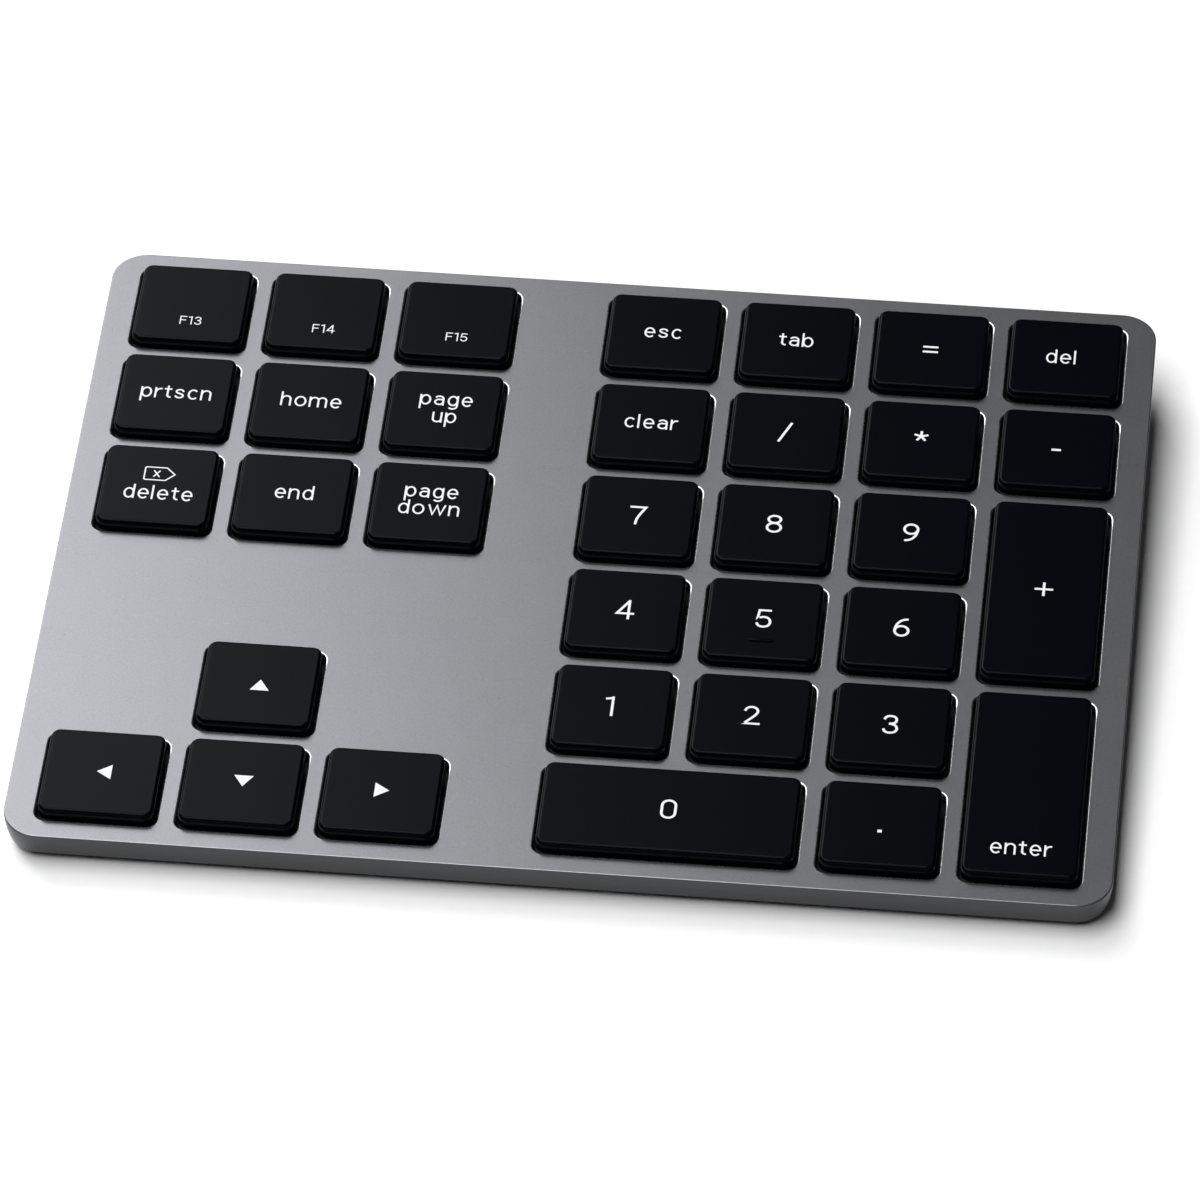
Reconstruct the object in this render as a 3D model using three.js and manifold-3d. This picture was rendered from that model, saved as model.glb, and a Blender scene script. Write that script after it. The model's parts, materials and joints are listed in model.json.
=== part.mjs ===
// Wireless extended number pad: an anodised aluminium tray, thirty-four scissor keys over one
// rubber dome sheet, and a wedge shaped base that holds the battery and the main board.
// Millimetres, +X to the right, +Y to the back edge, +Z up. The origin is on the surface that
// the feet stand on, under the middle of the tray.

import * as THREE from "three";
import { mergeVertices } from "three/addons/utils/BufferGeometryUtils.js";
import Module from "manifold-3d";

const manifold = await Module();
manifold.setup();

// ---- Driving dimensions ------------------------------------------------------------------

const TRAY_WIDTH = 149.7;
const TRAY_DEPTH = 114.3;
const TRAY_RADIUS = 5;
const TRAY_HEIGHT = 3.9;
const PLATE_THICKNESS = 1;
const WALL_THICKNESS = 1.5;

const TILT = THREE.MathUtils.degToRad(3);
const FRONT_EDGE_HEIGHT = 5.1;

const PITCH_X = 19.05;
const PITCH_Y = 18.4;
const LEFT_BLOCK_X = -62.3;
const RIGHT_BLOCK_X = 62.3 - 3 * PITCH_X;
const FAR_ROW_Y = 46;
const HOLE_WIDTH = 16.6;
const HOLE_DEPTH = 16.05;
const HOLE_RADIUS = 1.5;
const KEY_GAP = 0.45;

const KEY_RISE = 1.6;
const KEY_SKIRT = 0.5;
const KEY_TOP_THICKNESS = 1;
const KEY_WALL = 1.1;
const KEY_RADIUS = 1.3;
const KEY_BEVEL = 0.4;

const DOME_TOP = 0.3;
const SHEET_TOP = -2.15;
const SHEET_THICKNESS = 0.15;
const DOME_BASE_RADIUS = 2.7;
const DOME_TOP_RADIUS = 1.5;
const FILM_GAP = 0.05;
const MEMBRANE_THICKNESS = 0.2;
const BACKPLATE_THICKNESS = 0.4;
const STACK_MARGIN = 2.1;
const STACK_RADIUS = 3;

const TAIL_X = 28;
const TAIL_Y = 28;
const TAIL_WIDTH = 10;
const TAIL_SLOT_DEPTH = 2;
const TAIL_DROP = 3.6;
const TAIL_REACH = 3;

const BASE_GAP = 0.1;
const BASE_INSET = 1;
const BASE_FOOT_INSET = 5;
const BASE_LEVEL = 0.6;
const BASE_FLOOR = 1;
const BASE_WALL = 1.4;

const SCREW_RADIUS = 0.7;
const SCREW_HEAD_RADIUS = 1.4;
const SCREW_HEAD_HEIGHT = 0.4;
const SCREW_HEAD_TOP = -4.6;
const SCREW_LENGTH = 3;
const HEAD_WELL_DEPTH = 8;
const BOSS_RADIUS = 1.5;
const PILOT_RADIUS = 0.8;
const PILOT_ROOF = 0.4;
const SCREW_CLEARANCE = 0.2;
const POST_RADIUS = 2.6;
const BOSS_CLEARANCE_RADIUS = 1.9;

const FOOT_RADIUS = 4.5;
const FOOT_RECESS = 0.4;
const FOOT_CLEARANCE = 0.15;
const FOOT_X = 60;
const FOOT_FRONT_Y = -42;
const FOOT_BACK_Y = 44;

const BOARD_LEVEL = 2;
const BOARD_THICKNESS = 0.8;
const BOARD_WIDTH = 64;
const BOARD_DEPTH = 24;
const BOARD_X = 28;
const BOARD_Y = 42;
const PART_GAP = 0.1;
// Each chip is its width, depth and height, then its place from the middle of the board.
const CHIPS = [
  [6, 6, 0.95, -22, -4],
  [3, 3, 0.75, -10, 6],
  [4, 2, 0.65, 26, -6],
];
const CHIP_SINK = 0.05;

const BATTERY_WIDTH = 44;
const BATTERY_DEPTH = 36;
const BATTERY_RADIUS = 1.5;
const BATTERY_X = -38;
const BATTERY_Y = 24;
const BATTERY_BOTTOM = 1.9;
const BATTERY_TOP = 4.9;

const SHIELD_WIDTH = 13;
const SHIELD_DEPTH = 10;
const SHIELD_HEIGHT = 1.3;
const SHIELD_X = 48;
const SHIELD_Y = 44;

const CONNECTOR_WIDTH = 13;
const CONNECTOR_DEPTH = 3.4;
const CONNECTOR_HEIGHT = 1.6;
const CONNECTOR_OVERLAP = 1;
const CONNECTOR_MOUTH_OFFSET = 1.4;
const CONNECTOR_MOUTH_CLEARANCE = 0.3;

const PORT_X = 10;
const PORT_WIDTH = 8.94;
const PORT_HEIGHT = 3.26;
const PORT_DEPTH = 7.3;
const PORT_FACE_Y = 55.7;
const PORT_SHELL = 0.3;
const PORT_CLEARANCE = 0.3;
const PORT_BACK = 1;
const TONGUE_WIDTH = 6.7;
const TONGUE_LENGTH = 5.4;
const TONGUE_THICKNESS = 0.7;
const TONGUE_ROOT = 0.2;

const SWITCH_X = 42;
const SWITCH_TRAVEL = 2;
const SWITCH_WIDTH = 7;
const SWITCH_DEPTH = 3;
const SWITCH_FRONT_Y = 54.6;
const SWITCH_TRACK_CLEARANCE = 0.2;
const KNOB_WIDTH = 2.2;
const KNOB_HEIGHT = 1.3;
const KNOB_LENGTH = 3.2;
const KNOB_TIP_Y = 57;
const KNOB_SLOT_CLEARANCE = 0.3;

const LIGHT_X = 27;
const LIGHT_RADIUS = 0.8;
const LIGHT_CLEARANCE = 0.15;
const LIGHT_LENGTH = 4.4;
const LIGHT_BACK_Y = 56;
const LIGHT_STAND_WIDTH = 2.4;
const LIGHT_STAND_DEPTH = 2;
const LIGHT_STAND_Y = 52.4;

const REAR_FITTING_LEVEL = 4.45;
const WALL_CUT_LENGTH = 8;
const WALL_CUT_BACK_Y = 59.7;

const WIRE_RADIUS = 0.35;
const WIRE_ARM = 7;
const WIRE_BAR_OFFSET = 5.6;
const WIRE_BAR_Z = -1.65;
const WIRE_END_Z = -0.1;
const WIRE_BEND = 1.2;
const WIRE_HALF_SPAN = 12;

const ARC_STEPS_LARGE = 6;
const ARC_STEPS_SMALL = 2;
const ROUND_SIDES = 12;
const DOME_SIDES = 8;

// Each block lists its keys from the back row to the front row.
const LEFT_BLOCK = [
  ["f13", "f14", "f15"],
  ["print_screen", "home", "page_up"],
  ["forward_delete", "end", "page_down"],
  [],
  [null, "arrow_up"],
  ["arrow_left", "arrow_down", "arrow_right"],
];
const RIGHT_BLOCK = [
  ["escape", "tab", "equals", "delete"],
  ["clear", "divide", "multiply", "minus"],
  ["7", "8", "9", "plus"],
  ["4", "5", "6"],
  ["1", "2", "3", "enter"],
  ["0", null, "point"],
];
const LONG_KEYS = { 0: [2, 1], plus: [1, 2], enter: [1, 2] };

const CENTRE_STRIP_X = (LEFT_BLOCK_X + 2 * PITCH_X + RIGHT_BLOCK_X) / 2;
const WEB_CROSSING_X = RIGHT_BLOCK_X + 1.5 * PITCH_X;
const SCREW_PLACES = [
  [CENTRE_STRIP_X, FAR_ROW_Y],
  [CENTRE_STRIP_X, 0],
  [CENTRE_STRIP_X, -FAR_ROW_Y],
  [LEFT_BLOCK_X, -PITCH_Y],
  [WEB_CROSSING_X, PITCH_Y],
  [WEB_CROSSING_X, -PITCH_Y],
];
const FOOT_PLACES = [
  ["foot_front_left", -FOOT_X, FOOT_FRONT_Y],
  ["foot_front_right", FOOT_X, FOOT_FRONT_Y],
  ["foot_back_left", -FOOT_X, FOOT_BACK_Y],
  ["foot_back_right", FOOT_X, FOOT_BACK_Y],
];

// ---- Colours and finishes ----------------------------------------------------------------

function finish(color, roughness, metalness) {
  return new THREE.MeshStandardMaterial({ color, roughness, metalness });
}

const anodisedGrey = finish("#77797e", 0.42, 0.9);
const blackKeycap = finish("#15161a", 0.45, 0);
const blackPlastic = finish("#1b1c1f", 0.6, 0);
const stampedSteel = finish("#a9acb0", 0.4, 0.9);
const clearFilm = finish("#c9cfd2", 0.35, 0);
const blackSilicone = finish("#2b2c2e", 0.6, 0);
const boardGreen = finish("#1f4a38", 0.5, 0);
const batteryFoil = finish("#b8bcc2", 0.35, 0.6);
const portSteel = finish("#c4c6c9", 0.3, 1);
const lightDiffuser = finish("#eef1ee", 0.4, 0);
const footRubber = finish("#242527", 0.85, 0);
const screwSteel = finish("#3b3c3f", 0.45, 0.8);

// ---- Shape helpers -----------------------------------------------------------------------

// The outline of a rounded rectangle, anticlockwise, centred on (x, y).
function roundedOutline(width, depth, radius, steps, x = 0, y = 0) {
  const points = [];
  const corners = [
    [1, 1, 0],
    [-1, 1, 1],
    [-1, -1, 2],
    [1, -1, 3],
  ];
  for (const [sideX, sideY, quarter] of corners) {
    for (let step = 0; step <= steps; step++) {
      const angle = (quarter + step / steps) * (Math.PI / 2);
      points.push(
        new THREE.Vector2(
          x + sideX * (width / 2 - radius) + radius * Math.cos(angle),
          y + sideY * (depth / 2 - radius) + radius * Math.sin(angle),
        ),
      );
    }
  }
  return points;
}

// Lifts an outline to a height, which is a number or a function of the point.
function ring(outline, height) {
  const heightAt = height instanceof Function ? height : () => height;
  return outline.map((p) => new THREE.Vector3(p.x, p.y, heightAt(p)));
}

// Skins a closed solid over rings with equal numbers of points, and caps both of its ends.
function loft(rings) {
  const count = rings[0].length;
  const positions = rings.flat().flatMap((p) => [p.x, p.y, p.z]);
  const faces = [];
  for (let level = 0; level + 1 < rings.length; level++) {
    for (let i = 0; i < count; i++) {
      const a = level * count + i;
      const b = level * count + ((i + 1) % count);
      faces.push(a, b, b + count, a, b + count, a + count);
    }
  }
  const last = (rings.length - 1) * count;
  for (let i = 1; i + 1 < count; i++) {
    faces.push(0, i + 1, i);
    faces.push(last, last + i, last + i + 1);
  }
  const geometry = new THREE.BufferGeometry();
  geometry.setAttribute("position", new THREE.Float32BufferAttribute(positions, 3));
  geometry.setIndex(faces);
  return geometry;
}

// A straight prism of an outline between two heights.
function prism(outline, bottom, top) {
  return loft([ring(outline, bottom), ring(outline, top)]);
}

// A round bar along Z.
function roundBar(radius, bottom, top, x = 0, y = 0) {
  const geometry = new THREE.CylinderGeometry(radius, radius, top - bottom, ROUND_SIDES);
  geometry.rotateX(Math.PI / 2);
  geometry.translate(x, y, (top + bottom) / 2);
  return geometry;
}

// A box with its centre at (x, y) and its lowest face at bottom.
function block(width, depth, height, x, y, bottom) {
  const geometry = new THREE.BoxGeometry(width, depth, height);
  geometry.translate(x, y, bottom + height / 2);
  return geometry;
}

function solid(geometry) {
  const bare = geometry.clone();
  bare.deleteAttribute("normal");
  bare.deleteAttribute("uv");
  const welded = mergeVertices(bare);
  return new manifold.Manifold(
    new manifold.Mesh({
      numProp: 3,
      vertProperties: new Float32Array(welded.attributes.position.array),
      triVerts: new Uint32Array(welded.index.array),
    }),
  );
}

function surface(piece) {
  const mesh = piece.getMesh();
  const geometry = new THREE.BufferGeometry();
  geometry.setAttribute("position", new THREE.Float32BufferAttribute(mesh.vertProperties, 3));
  geometry.setIndex(Array.from(mesh.triVerts));
  return geometry;
}

function joined(...geometries) {
  return geometries.map(solid).reduce((whole, part) => whole.add(part));
}

function cut(whole, geometries) {
  return geometries.map(solid).reduce((rest, part) => rest.subtract(part), whole);
}

// ---- The two frames: level, and tilted with the tray ---------------------------------------

const numberPad = new THREE.Group();
const tray = new THREE.Group();
tray.rotation.x = TILT;
tray.position.y = (-TRAY_HEIGHT * Math.sin(TILT)) / 2;
tray.position.z = FRONT_EDGE_HEIGHT + (TRAY_DEPTH / 2) * Math.sin(TILT);
tray.updateMatrix();
numberPad.add(tray);
const levelToTray = tray.matrix.clone().invert();

// The height in the tray's frame of a point at (x, y) there that stands at a level height.
function heightAtLevel(level) {
  return (p) => (level - tray.position.z - p.y * Math.sin(TILT)) / Math.cos(TILT);
}

function place(group, name, geometry, material, position = [0, 0, 0]) {
  const mesh = new THREE.Mesh(geometry, material);
  mesh.name = name;
  mesh.position.set(...position);
  group.add(mesh);
  return mesh;
}

// ---- Key places ----------------------------------------------------------------------------

function keysOf(block, firstX) {
  const keys = [];
  block.forEach((names, row) => {
    names.forEach((name, column) => {
      if (!name) return;
      const [across, down] = LONG_KEYS[name] ?? [1, 1];
      keys.push({
        name: `key_${name}`,
        x: firstX + (column + (across - 1) / 2) * PITCH_X,
        y: FAR_ROW_Y - (row + (down - 1) / 2) * PITCH_Y,
        holeWidth: HOLE_WIDTH + (across - 1) * PITCH_X,
        holeDepth: HOLE_DEPTH + (down - 1) * PITCH_Y,
        across,
        down,
      });
    });
  });
  return keys;
}

const keys = [...keysOf(LEFT_BLOCK, LEFT_BLOCK_X), ...keysOf(RIGHT_BLOCK, RIGHT_BLOCK_X)];

// ---- Tray: milled aluminium, with the key openings and six screw bosses --------------------

function topCase() {
  const outline = roundedOutline(TRAY_WIDTH, TRAY_DEPTH, TRAY_RADIUS, ARC_STEPS_LARGE);
  const pocket = roundedOutline(
    TRAY_WIDTH - 2 * WALL_THICKNESS,
    TRAY_DEPTH - 2 * WALL_THICKNESS,
    TRAY_RADIUS - WALL_THICKNESS,
    ARC_STEPS_LARGE,
  );
  const openings = keys.map((key) =>
    prism(
      roundedOutline(key.holeWidth, key.holeDepth, HOLE_RADIUS, ARC_STEPS_SMALL, key.x, key.y),
      -PLATE_THICKNESS - 1,
      1,
    ),
  );
  const shell = cut(solid(prism(outline, -TRAY_HEIGHT, 0)), [
    prism(pocket, -TRAY_HEIGHT - 1, -PLATE_THICKNESS),
    ...openings,
  ]);
  const bosses = SCREW_PLACES.map(([x, y]) =>
    roundBar(BOSS_RADIUS, -TRAY_HEIGHT, -PLATE_THICKNESS / 2, x, y),
  );
  const pilots = SCREW_PLACES.map(([x, y]) =>
    roundBar(PILOT_RADIUS, -TRAY_HEIGHT - 1, -PLATE_THICKNESS - PILOT_ROOF, x, y),
  );
  return surface(cut(shell.add(joined(...bosses)), pilots));
}

// ---- Keycaps: thin-walled caps with a bevelled top ------------------------------------------

function keycap(width, depth) {
  const outer = roundedOutline(width, depth, KEY_RADIUS, ARC_STEPS_SMALL);
  const top = roundedOutline(
    width - 2 * KEY_BEVEL,
    depth - 2 * KEY_BEVEL,
    KEY_RADIUS - KEY_BEVEL,
    ARC_STEPS_SMALL,
  );
  const inner = roundedOutline(
    width - 2 * KEY_WALL,
    depth - 2 * KEY_WALL,
    KEY_RADIUS / 2,
    ARC_STEPS_SMALL,
  );
  return loft([
    ring(inner, KEY_RISE - KEY_TOP_THICKNESS),
    ring(inner, -KEY_SKIRT),
    ring(outer, -KEY_SKIRT),
    ring(outer, KEY_RISE - KEY_BEVEL),
    ring(top, KEY_RISE),
  ]);
}

// ---- Key stack: one dome sheet, one switch membrane and one steel backplate -----------------

const membraneTop = SHEET_TOP - SHEET_THICKNESS - FILM_GAP;
const backplateTop = membraneTop - MEMBRANE_THICKNESS - FILM_GAP;
const backplateBottom = backplateTop - BACKPLATE_THICKNESS;

function stackSheet(bottom, thickness) {
  const outline = roundedOutline(
    TRAY_WIDTH - 2 * STACK_MARGIN,
    TRAY_DEPTH - 2 * STACK_MARGIN,
    STACK_RADIUS,
    ARC_STEPS_SMALL,
  );
  const clearances = SCREW_PLACES.map(([x, y]) =>
    roundBar(BOSS_CLEARANCE_RADIUS, bottom - 1, bottom + thickness + 1, x, y),
  );
  return cut(solid(prism(outline, bottom, bottom + thickness)), clearances);
}

function domeSheet() {
  const height = DOME_TOP - SHEET_TOP + SHEET_THICKNESS / 2;
  const domes = keys.map((key) => {
    const dome = new THREE.CylinderGeometry(DOME_TOP_RADIUS, DOME_BASE_RADIUS, height, DOME_SIDES);
    dome.rotateX(Math.PI / 2);
    dome.translate(key.x, key.y, DOME_TOP - height / 2);
    return dome;
  });
  return surface(stackSheet(SHEET_TOP - SHEET_THICKNESS, SHEET_THICKNESS).add(joined(...domes)));
}

function switchMembrane() {
  const tailTop = membraneTop - MEMBRANE_THICKNESS / 2;
  const drop = block(
    TAIL_WIDTH,
    MEMBRANE_THICKNESS,
    TAIL_DROP,
    TAIL_X,
    TAIL_Y,
    tailTop - TAIL_DROP,
  );
  const reach = block(
    TAIL_WIDTH,
    TAIL_REACH,
    MEMBRANE_THICKNESS,
    TAIL_X,
    TAIL_Y + TAIL_REACH / 2 - MEMBRANE_THICKNESS / 2,
    tailTop - TAIL_DROP,
  );
  const sheet = stackSheet(membraneTop - MEMBRANE_THICKNESS, MEMBRANE_THICKNESS);
  return surface(sheet.add(joined(drop, reach)));
}

function keyBackplate() {
  const plate = stackSheet(backplateBottom, BACKPLATE_THICKNESS);
  const tailSlot = block(TAIL_WIDTH + 1, TAIL_SLOT_DEPTH, 2, TAIL_X, TAIL_Y, backplateBottom - 1);
  return surface(cut(plate, [tailSlot]));
}

// ---- Stabiliser wires: bent spring wire under each long key ---------------------------------

class BentWire extends THREE.Curve {
  // A wide U with rounded bends: an arm, the bar and the other arm. The bar lies along X.
  constructor() {
    super();
    this.path = new THREE.CurvePath();
    const rise = WIRE_END_Z - WIRE_BAR_Z;
    const run = Math.sqrt(WIRE_ARM ** 2 - rise ** 2);
    const along = (side, share) =>
      new THREE.Vector3(side * WIRE_HALF_SPAN, run * share, rise * share);
    const bend = WIRE_BEND / WIRE_ARM;
    const corner = (side) => new THREE.Vector3(side * WIRE_HALF_SPAN, 0, 0);
    const barEnd = (side) => new THREE.Vector3(side * (WIRE_HALF_SPAN - WIRE_BEND), 0, 0);
    const { path } = this;
    path.add(new THREE.LineCurve3(along(-1, 1), along(-1, bend)));
    path.add(new THREE.QuadraticBezierCurve3(along(-1, bend), corner(-1), barEnd(-1)));
    path.add(new THREE.LineCurve3(barEnd(-1), barEnd(1)));
    path.add(new THREE.QuadraticBezierCurve3(barEnd(1), corner(1), along(1, bend)));
    path.add(new THREE.LineCurve3(along(1, bend), along(1, 1)));
  }

  getPoint(share, target = new THREE.Vector3()) {
    return target.copy(this.path.getPoint(share));
  }
}

function stabiliserWire() {
  const section = new THREE.Shape();
  section.absarc(0, 0, WIRE_RADIUS, 0, 2 * Math.PI);
  return new THREE.ExtrudeGeometry(section, {
    steps: 22,
    curveSegments: 3,
    bevelEnabled: false,
    extrudePath: new BentWire(),
  });
}

// ---- Base: a moulded wedge tub with six screw posts -----------------------------------------

// The tub's outline at a side inset, with its back wall kept upright for the rear fittings.
function tubOutline(sideInset, backInset, radius) {
  const depth = TRAY_DEPTH - sideInset - backInset;
  return roundedOutline(
    TRAY_WIDTH - 2 * sideInset,
    depth,
    radius,
    ARC_STEPS_LARGE,
    0,
    (sideInset - backInset) / 2,
  );
}

// A stadium shaped bar along Y, for the charging port and its opening.
function stadiumBar(width, height, depth, x, backY, level) {
  const outline = roundedOutline(width, height, height / 2 - 0.01, ARC_STEPS_SMALL + 1);
  const geometry = prism(outline, 0, depth);
  geometry.rotateX(Math.PI / 2);
  geometry.translate(x, backY, level);
  return geometry;
}

function bottomCover() {
  const rim = -TRAY_HEIGHT - BASE_GAP;
  const outer = loft([
    ring(tubOutline(BASE_FOOT_INSET, BASE_INSET, TRAY_RADIUS - 1), heightAtLevel(BASE_LEVEL)),
    ring(tubOutline(BASE_INSET, BASE_INSET, TRAY_RADIUS - 1), rim),
  ]);
  const room = tubOutline(BASE_FOOT_INSET + BASE_WALL, BASE_INSET + BASE_WALL, TRAY_RADIUS / 2);
  const hollow = loft([ring(room, heightAtLevel(BASE_LEVEL + BASE_FLOOR)), ring(room, rim + 1)]);
  const posts = SCREW_PLACES.map(([x, y]) =>
    roundBar(POST_RADIUS, heightAtLevel(BASE_LEVEL + BASE_FLOOR / 2)({ y }), rim, x, y),
  );
  const shanks = SCREW_PLACES.map(([x, y]) =>
    roundBar(SCREW_RADIUS + SCREW_CLEARANCE, SCREW_HEAD_TOP - 1, 0, x, y),
  );
  const headWells = SCREW_PLACES.map(([x, y]) =>
    roundBar(
      SCREW_HEAD_RADIUS + SCREW_CLEARANCE,
      SCREW_HEAD_TOP - HEAD_WELL_DEPTH,
      SCREW_HEAD_TOP + FILM_GAP,
      x,
      y,
    ),
  );
  const footWells = FOOT_PLACES.map(([, x, y]) =>
    roundBar(FOOT_RADIUS + FOOT_CLEARANCE, 0, BASE_LEVEL + FOOT_RECESS, x, y),
  );
  const portHole = stadiumBar(
    PORT_WIDTH + 2 * PORT_CLEARANCE,
    PORT_HEIGHT + 2 * PORT_CLEARANCE,
    WALL_CUT_LENGTH,
    PORT_X,
    WALL_CUT_BACK_Y,
    REAR_FITTING_LEVEL,
  );
  const knobSlot = block(
    KNOB_WIDTH + SWITCH_TRAVEL + 2 * KNOB_SLOT_CLEARANCE,
    WALL_CUT_LENGTH,
    KNOB_HEIGHT + 2 * KNOB_SLOT_CLEARANCE,
    SWITCH_X,
    WALL_CUT_BACK_Y - WALL_CUT_LENGTH / 2,
    REAR_FITTING_LEVEL - KNOB_HEIGHT / 2 - KNOB_SLOT_CLEARANCE,
  );
  const lightHole = roundBar(LIGHT_RADIUS + LIGHT_CLEARANCE, 0, WALL_CUT_LENGTH);
  lightHole.rotateX(Math.PI / 2);
  lightHole.translate(LIGHT_X, WALL_CUT_BACK_Y, REAR_FITTING_LEVEL);
  const levelCuts = [...footWells, portHole, knobSlot, lightHole];
  levelCuts.forEach((geometry) => geometry.applyMatrix4(levelToTray));
  const tub = cut(solid(outer), [hollow]).add(joined(...posts));
  return surface(cut(tub, [...shanks, ...headWells, ...levelCuts]));
}

// ---- Fasteners and feet ---------------------------------------------------------------------

function caseScrew() {
  const tip = SCREW_HEAD_TOP + SCREW_LENGTH;
  const profile = [
    [0, SCREW_HEAD_TOP - SCREW_HEAD_HEIGHT],
    [SCREW_HEAD_RADIUS, SCREW_HEAD_TOP - SCREW_HEAD_HEIGHT],
    [SCREW_HEAD_RADIUS, SCREW_HEAD_TOP],
    [SCREW_RADIUS, SCREW_HEAD_TOP],
    [SCREW_RADIUS, tip - SCREW_RADIUS / 2],
    [0, tip],
  ].map(([radius, height]) => new THREE.Vector2(radius, height));
  const geometry = new THREE.LatheGeometry(profile, ROUND_SIDES);
  geometry.rotateX(Math.PI / 2);
  return geometry;
}

// ---- Electronics ----------------------------------------------------------------------------

const boardTop = BOARD_LEVEL + BOARD_THICKNESS;
const fittingBottom = boardTop + PART_GAP;

function mainBoard() {
  const board = block(BOARD_WIDTH, BOARD_DEPTH, BOARD_THICKNESS, BOARD_X, BOARD_Y, BOARD_LEVEL);
  const chips = CHIPS.map(([width, depth, height, x, y]) =>
    block(width, depth, height, BOARD_X + x, BOARD_Y + y, boardTop - CHIP_SINK),
  );
  return surface(joined(board, ...chips));
}

function chargingPort() {
  const shell = solid(
    stadiumBar(PORT_WIDTH, PORT_HEIGHT, PORT_DEPTH, PORT_X, PORT_FACE_Y, REAR_FITTING_LEVEL),
  );
  const socketDepth = PORT_DEPTH - PORT_BACK;
  const socket = stadiumBar(
    PORT_WIDTH - 2 * PORT_SHELL,
    PORT_HEIGHT - 2 * PORT_SHELL,
    socketDepth + 1,
    PORT_X,
    PORT_FACE_Y + 1,
    REAR_FITTING_LEVEL,
  );
  const tongue = block(
    TONGUE_WIDTH,
    TONGUE_LENGTH,
    TONGUE_THICKNESS,
    PORT_X,
    PORT_FACE_Y - socketDepth - TONGUE_ROOT + TONGUE_LENGTH / 2,
    REAR_FITTING_LEVEL - TONGUE_THICKNESS / 2,
  );
  return surface(cut(shell, [socket]).add(solid(tongue)));
}

function powerSwitchBody() {
  const height = REAR_FITTING_LEVEL + KNOB_HEIGHT - fittingBottom;
  const middleY = SWITCH_FRONT_Y - SWITCH_DEPTH / 2;
  const box = block(SWITCH_WIDTH, SWITCH_DEPTH, height, SWITCH_X, middleY, fittingBottom);
  const track = block(
    KNOB_WIDTH + SWITCH_TRAVEL + 2 * SWITCH_TRACK_CLEARANCE,
    SWITCH_DEPTH,
    KNOB_HEIGHT + 2 * SWITCH_TRACK_CLEARANCE,
    SWITCH_X,
    middleY + SWITCH_DEPTH / 2,
    REAR_FITTING_LEVEL - KNOB_HEIGHT / 2 - SWITCH_TRACK_CLEARANCE,
  );
  return surface(cut(solid(box), [track]));
}

function powerSwitchKnob() {
  return block(
    KNOB_WIDTH,
    KNOB_LENGTH,
    KNOB_HEIGHT,
    SWITCH_X - SWITCH_TRAVEL / 2,
    KNOB_TIP_Y - KNOB_LENGTH / 2,
    REAR_FITTING_LEVEL - KNOB_HEIGHT / 2,
  );
}

function statusLightPipe() {
  const pipe = roundBar(LIGHT_RADIUS, 0, LIGHT_LENGTH);
  pipe.rotateX(Math.PI / 2);
  pipe.translate(LIGHT_X, LIGHT_BACK_Y, REAR_FITTING_LEVEL);
  const stand = block(
    LIGHT_STAND_WIDTH,
    LIGHT_STAND_DEPTH,
    REAR_FITTING_LEVEL - fittingBottom,
    LIGHT_X,
    LIGHT_STAND_Y,
    fittingBottom,
  );
  return surface(joined(pipe, stand));
}

function cableConnector() {
  const y = TAIL_Y + TAIL_REACH + CONNECTOR_DEPTH / 2 - CONNECTOR_OVERLAP;
  const body = block(CONNECTOR_WIDTH, CONNECTOR_DEPTH, CONNECTOR_HEIGHT, TAIL_X, y, fittingBottom);
  const mouth = block(
    TAIL_WIDTH + 2 * CONNECTOR_MOUTH_CLEARANCE,
    CONNECTOR_DEPTH,
    CONNECTOR_HEIGHT / 2,
    TAIL_X,
    y - CONNECTOR_MOUTH_OFFSET,
    fittingBottom + CONNECTOR_HEIGHT / 4,
  );
  return surface(cut(solid(body), [mouth]));
}

function batteryPack() {
  const outline = roundedOutline(
    BATTERY_WIDTH,
    BATTERY_DEPTH,
    BATTERY_RADIUS,
    ARC_STEPS_SMALL,
    BATTERY_X,
    BATTERY_Y,
  );
  return prism(outline, BATTERY_BOTTOM, BATTERY_TOP);
}

function radioShield() {
  return block(SHIELD_WIDTH, SHIELD_DEPTH, SHIELD_HEIGHT, SHIELD_X, SHIELD_Y, fittingBottom);
}

// ---- Assembly -------------------------------------------------------------------------------

place(tray, "top_case", topCase(), anodisedGrey);
place(tray, "bottom_cover", bottomCover(), blackPlastic);
place(tray, "key_backplate", keyBackplate(), stampedSteel);
place(tray, "switch_membrane", switchMembrane(), clearFilm);
place(tray, "dome_sheet", domeSheet(), blackSilicone);

for (const key of keys) {
  const cap = keycap(key.holeWidth - 2 * KEY_GAP, key.holeDepth - 2 * KEY_GAP);
  place(tray, key.name, cap, blackKeycap, [key.x, key.y, 0]);
  if (key.across + key.down > 2) {
    const turned = key.down > 1;
    const wirePlace = turned
      ? [key.x + WIRE_BAR_OFFSET, key.y, WIRE_BAR_Z]
      : [key.x, key.y - WIRE_BAR_OFFSET, WIRE_BAR_Z];
    const name = key.name.replace("key", "stabiliser_wire");
    const wire = place(tray, name, stabiliserWire(), stampedSteel, wirePlace);
    wire.rotation.z = turned ? Math.PI / 2 : 0;
  }
}

SCREW_PLACES.forEach(([x, y], index) => {
  place(tray, `case_screw_${index + 1}`, caseScrew(), screwSteel, [x, y, 0]);
});
for (const [name, x, y] of FOOT_PLACES) {
  const foot = roundBar(FOOT_RADIUS, 0, BASE_LEVEL + FOOT_RECESS - FILM_GAP);
  place(numberPad, name, foot, footRubber, [x, y, 0]);
}

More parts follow.
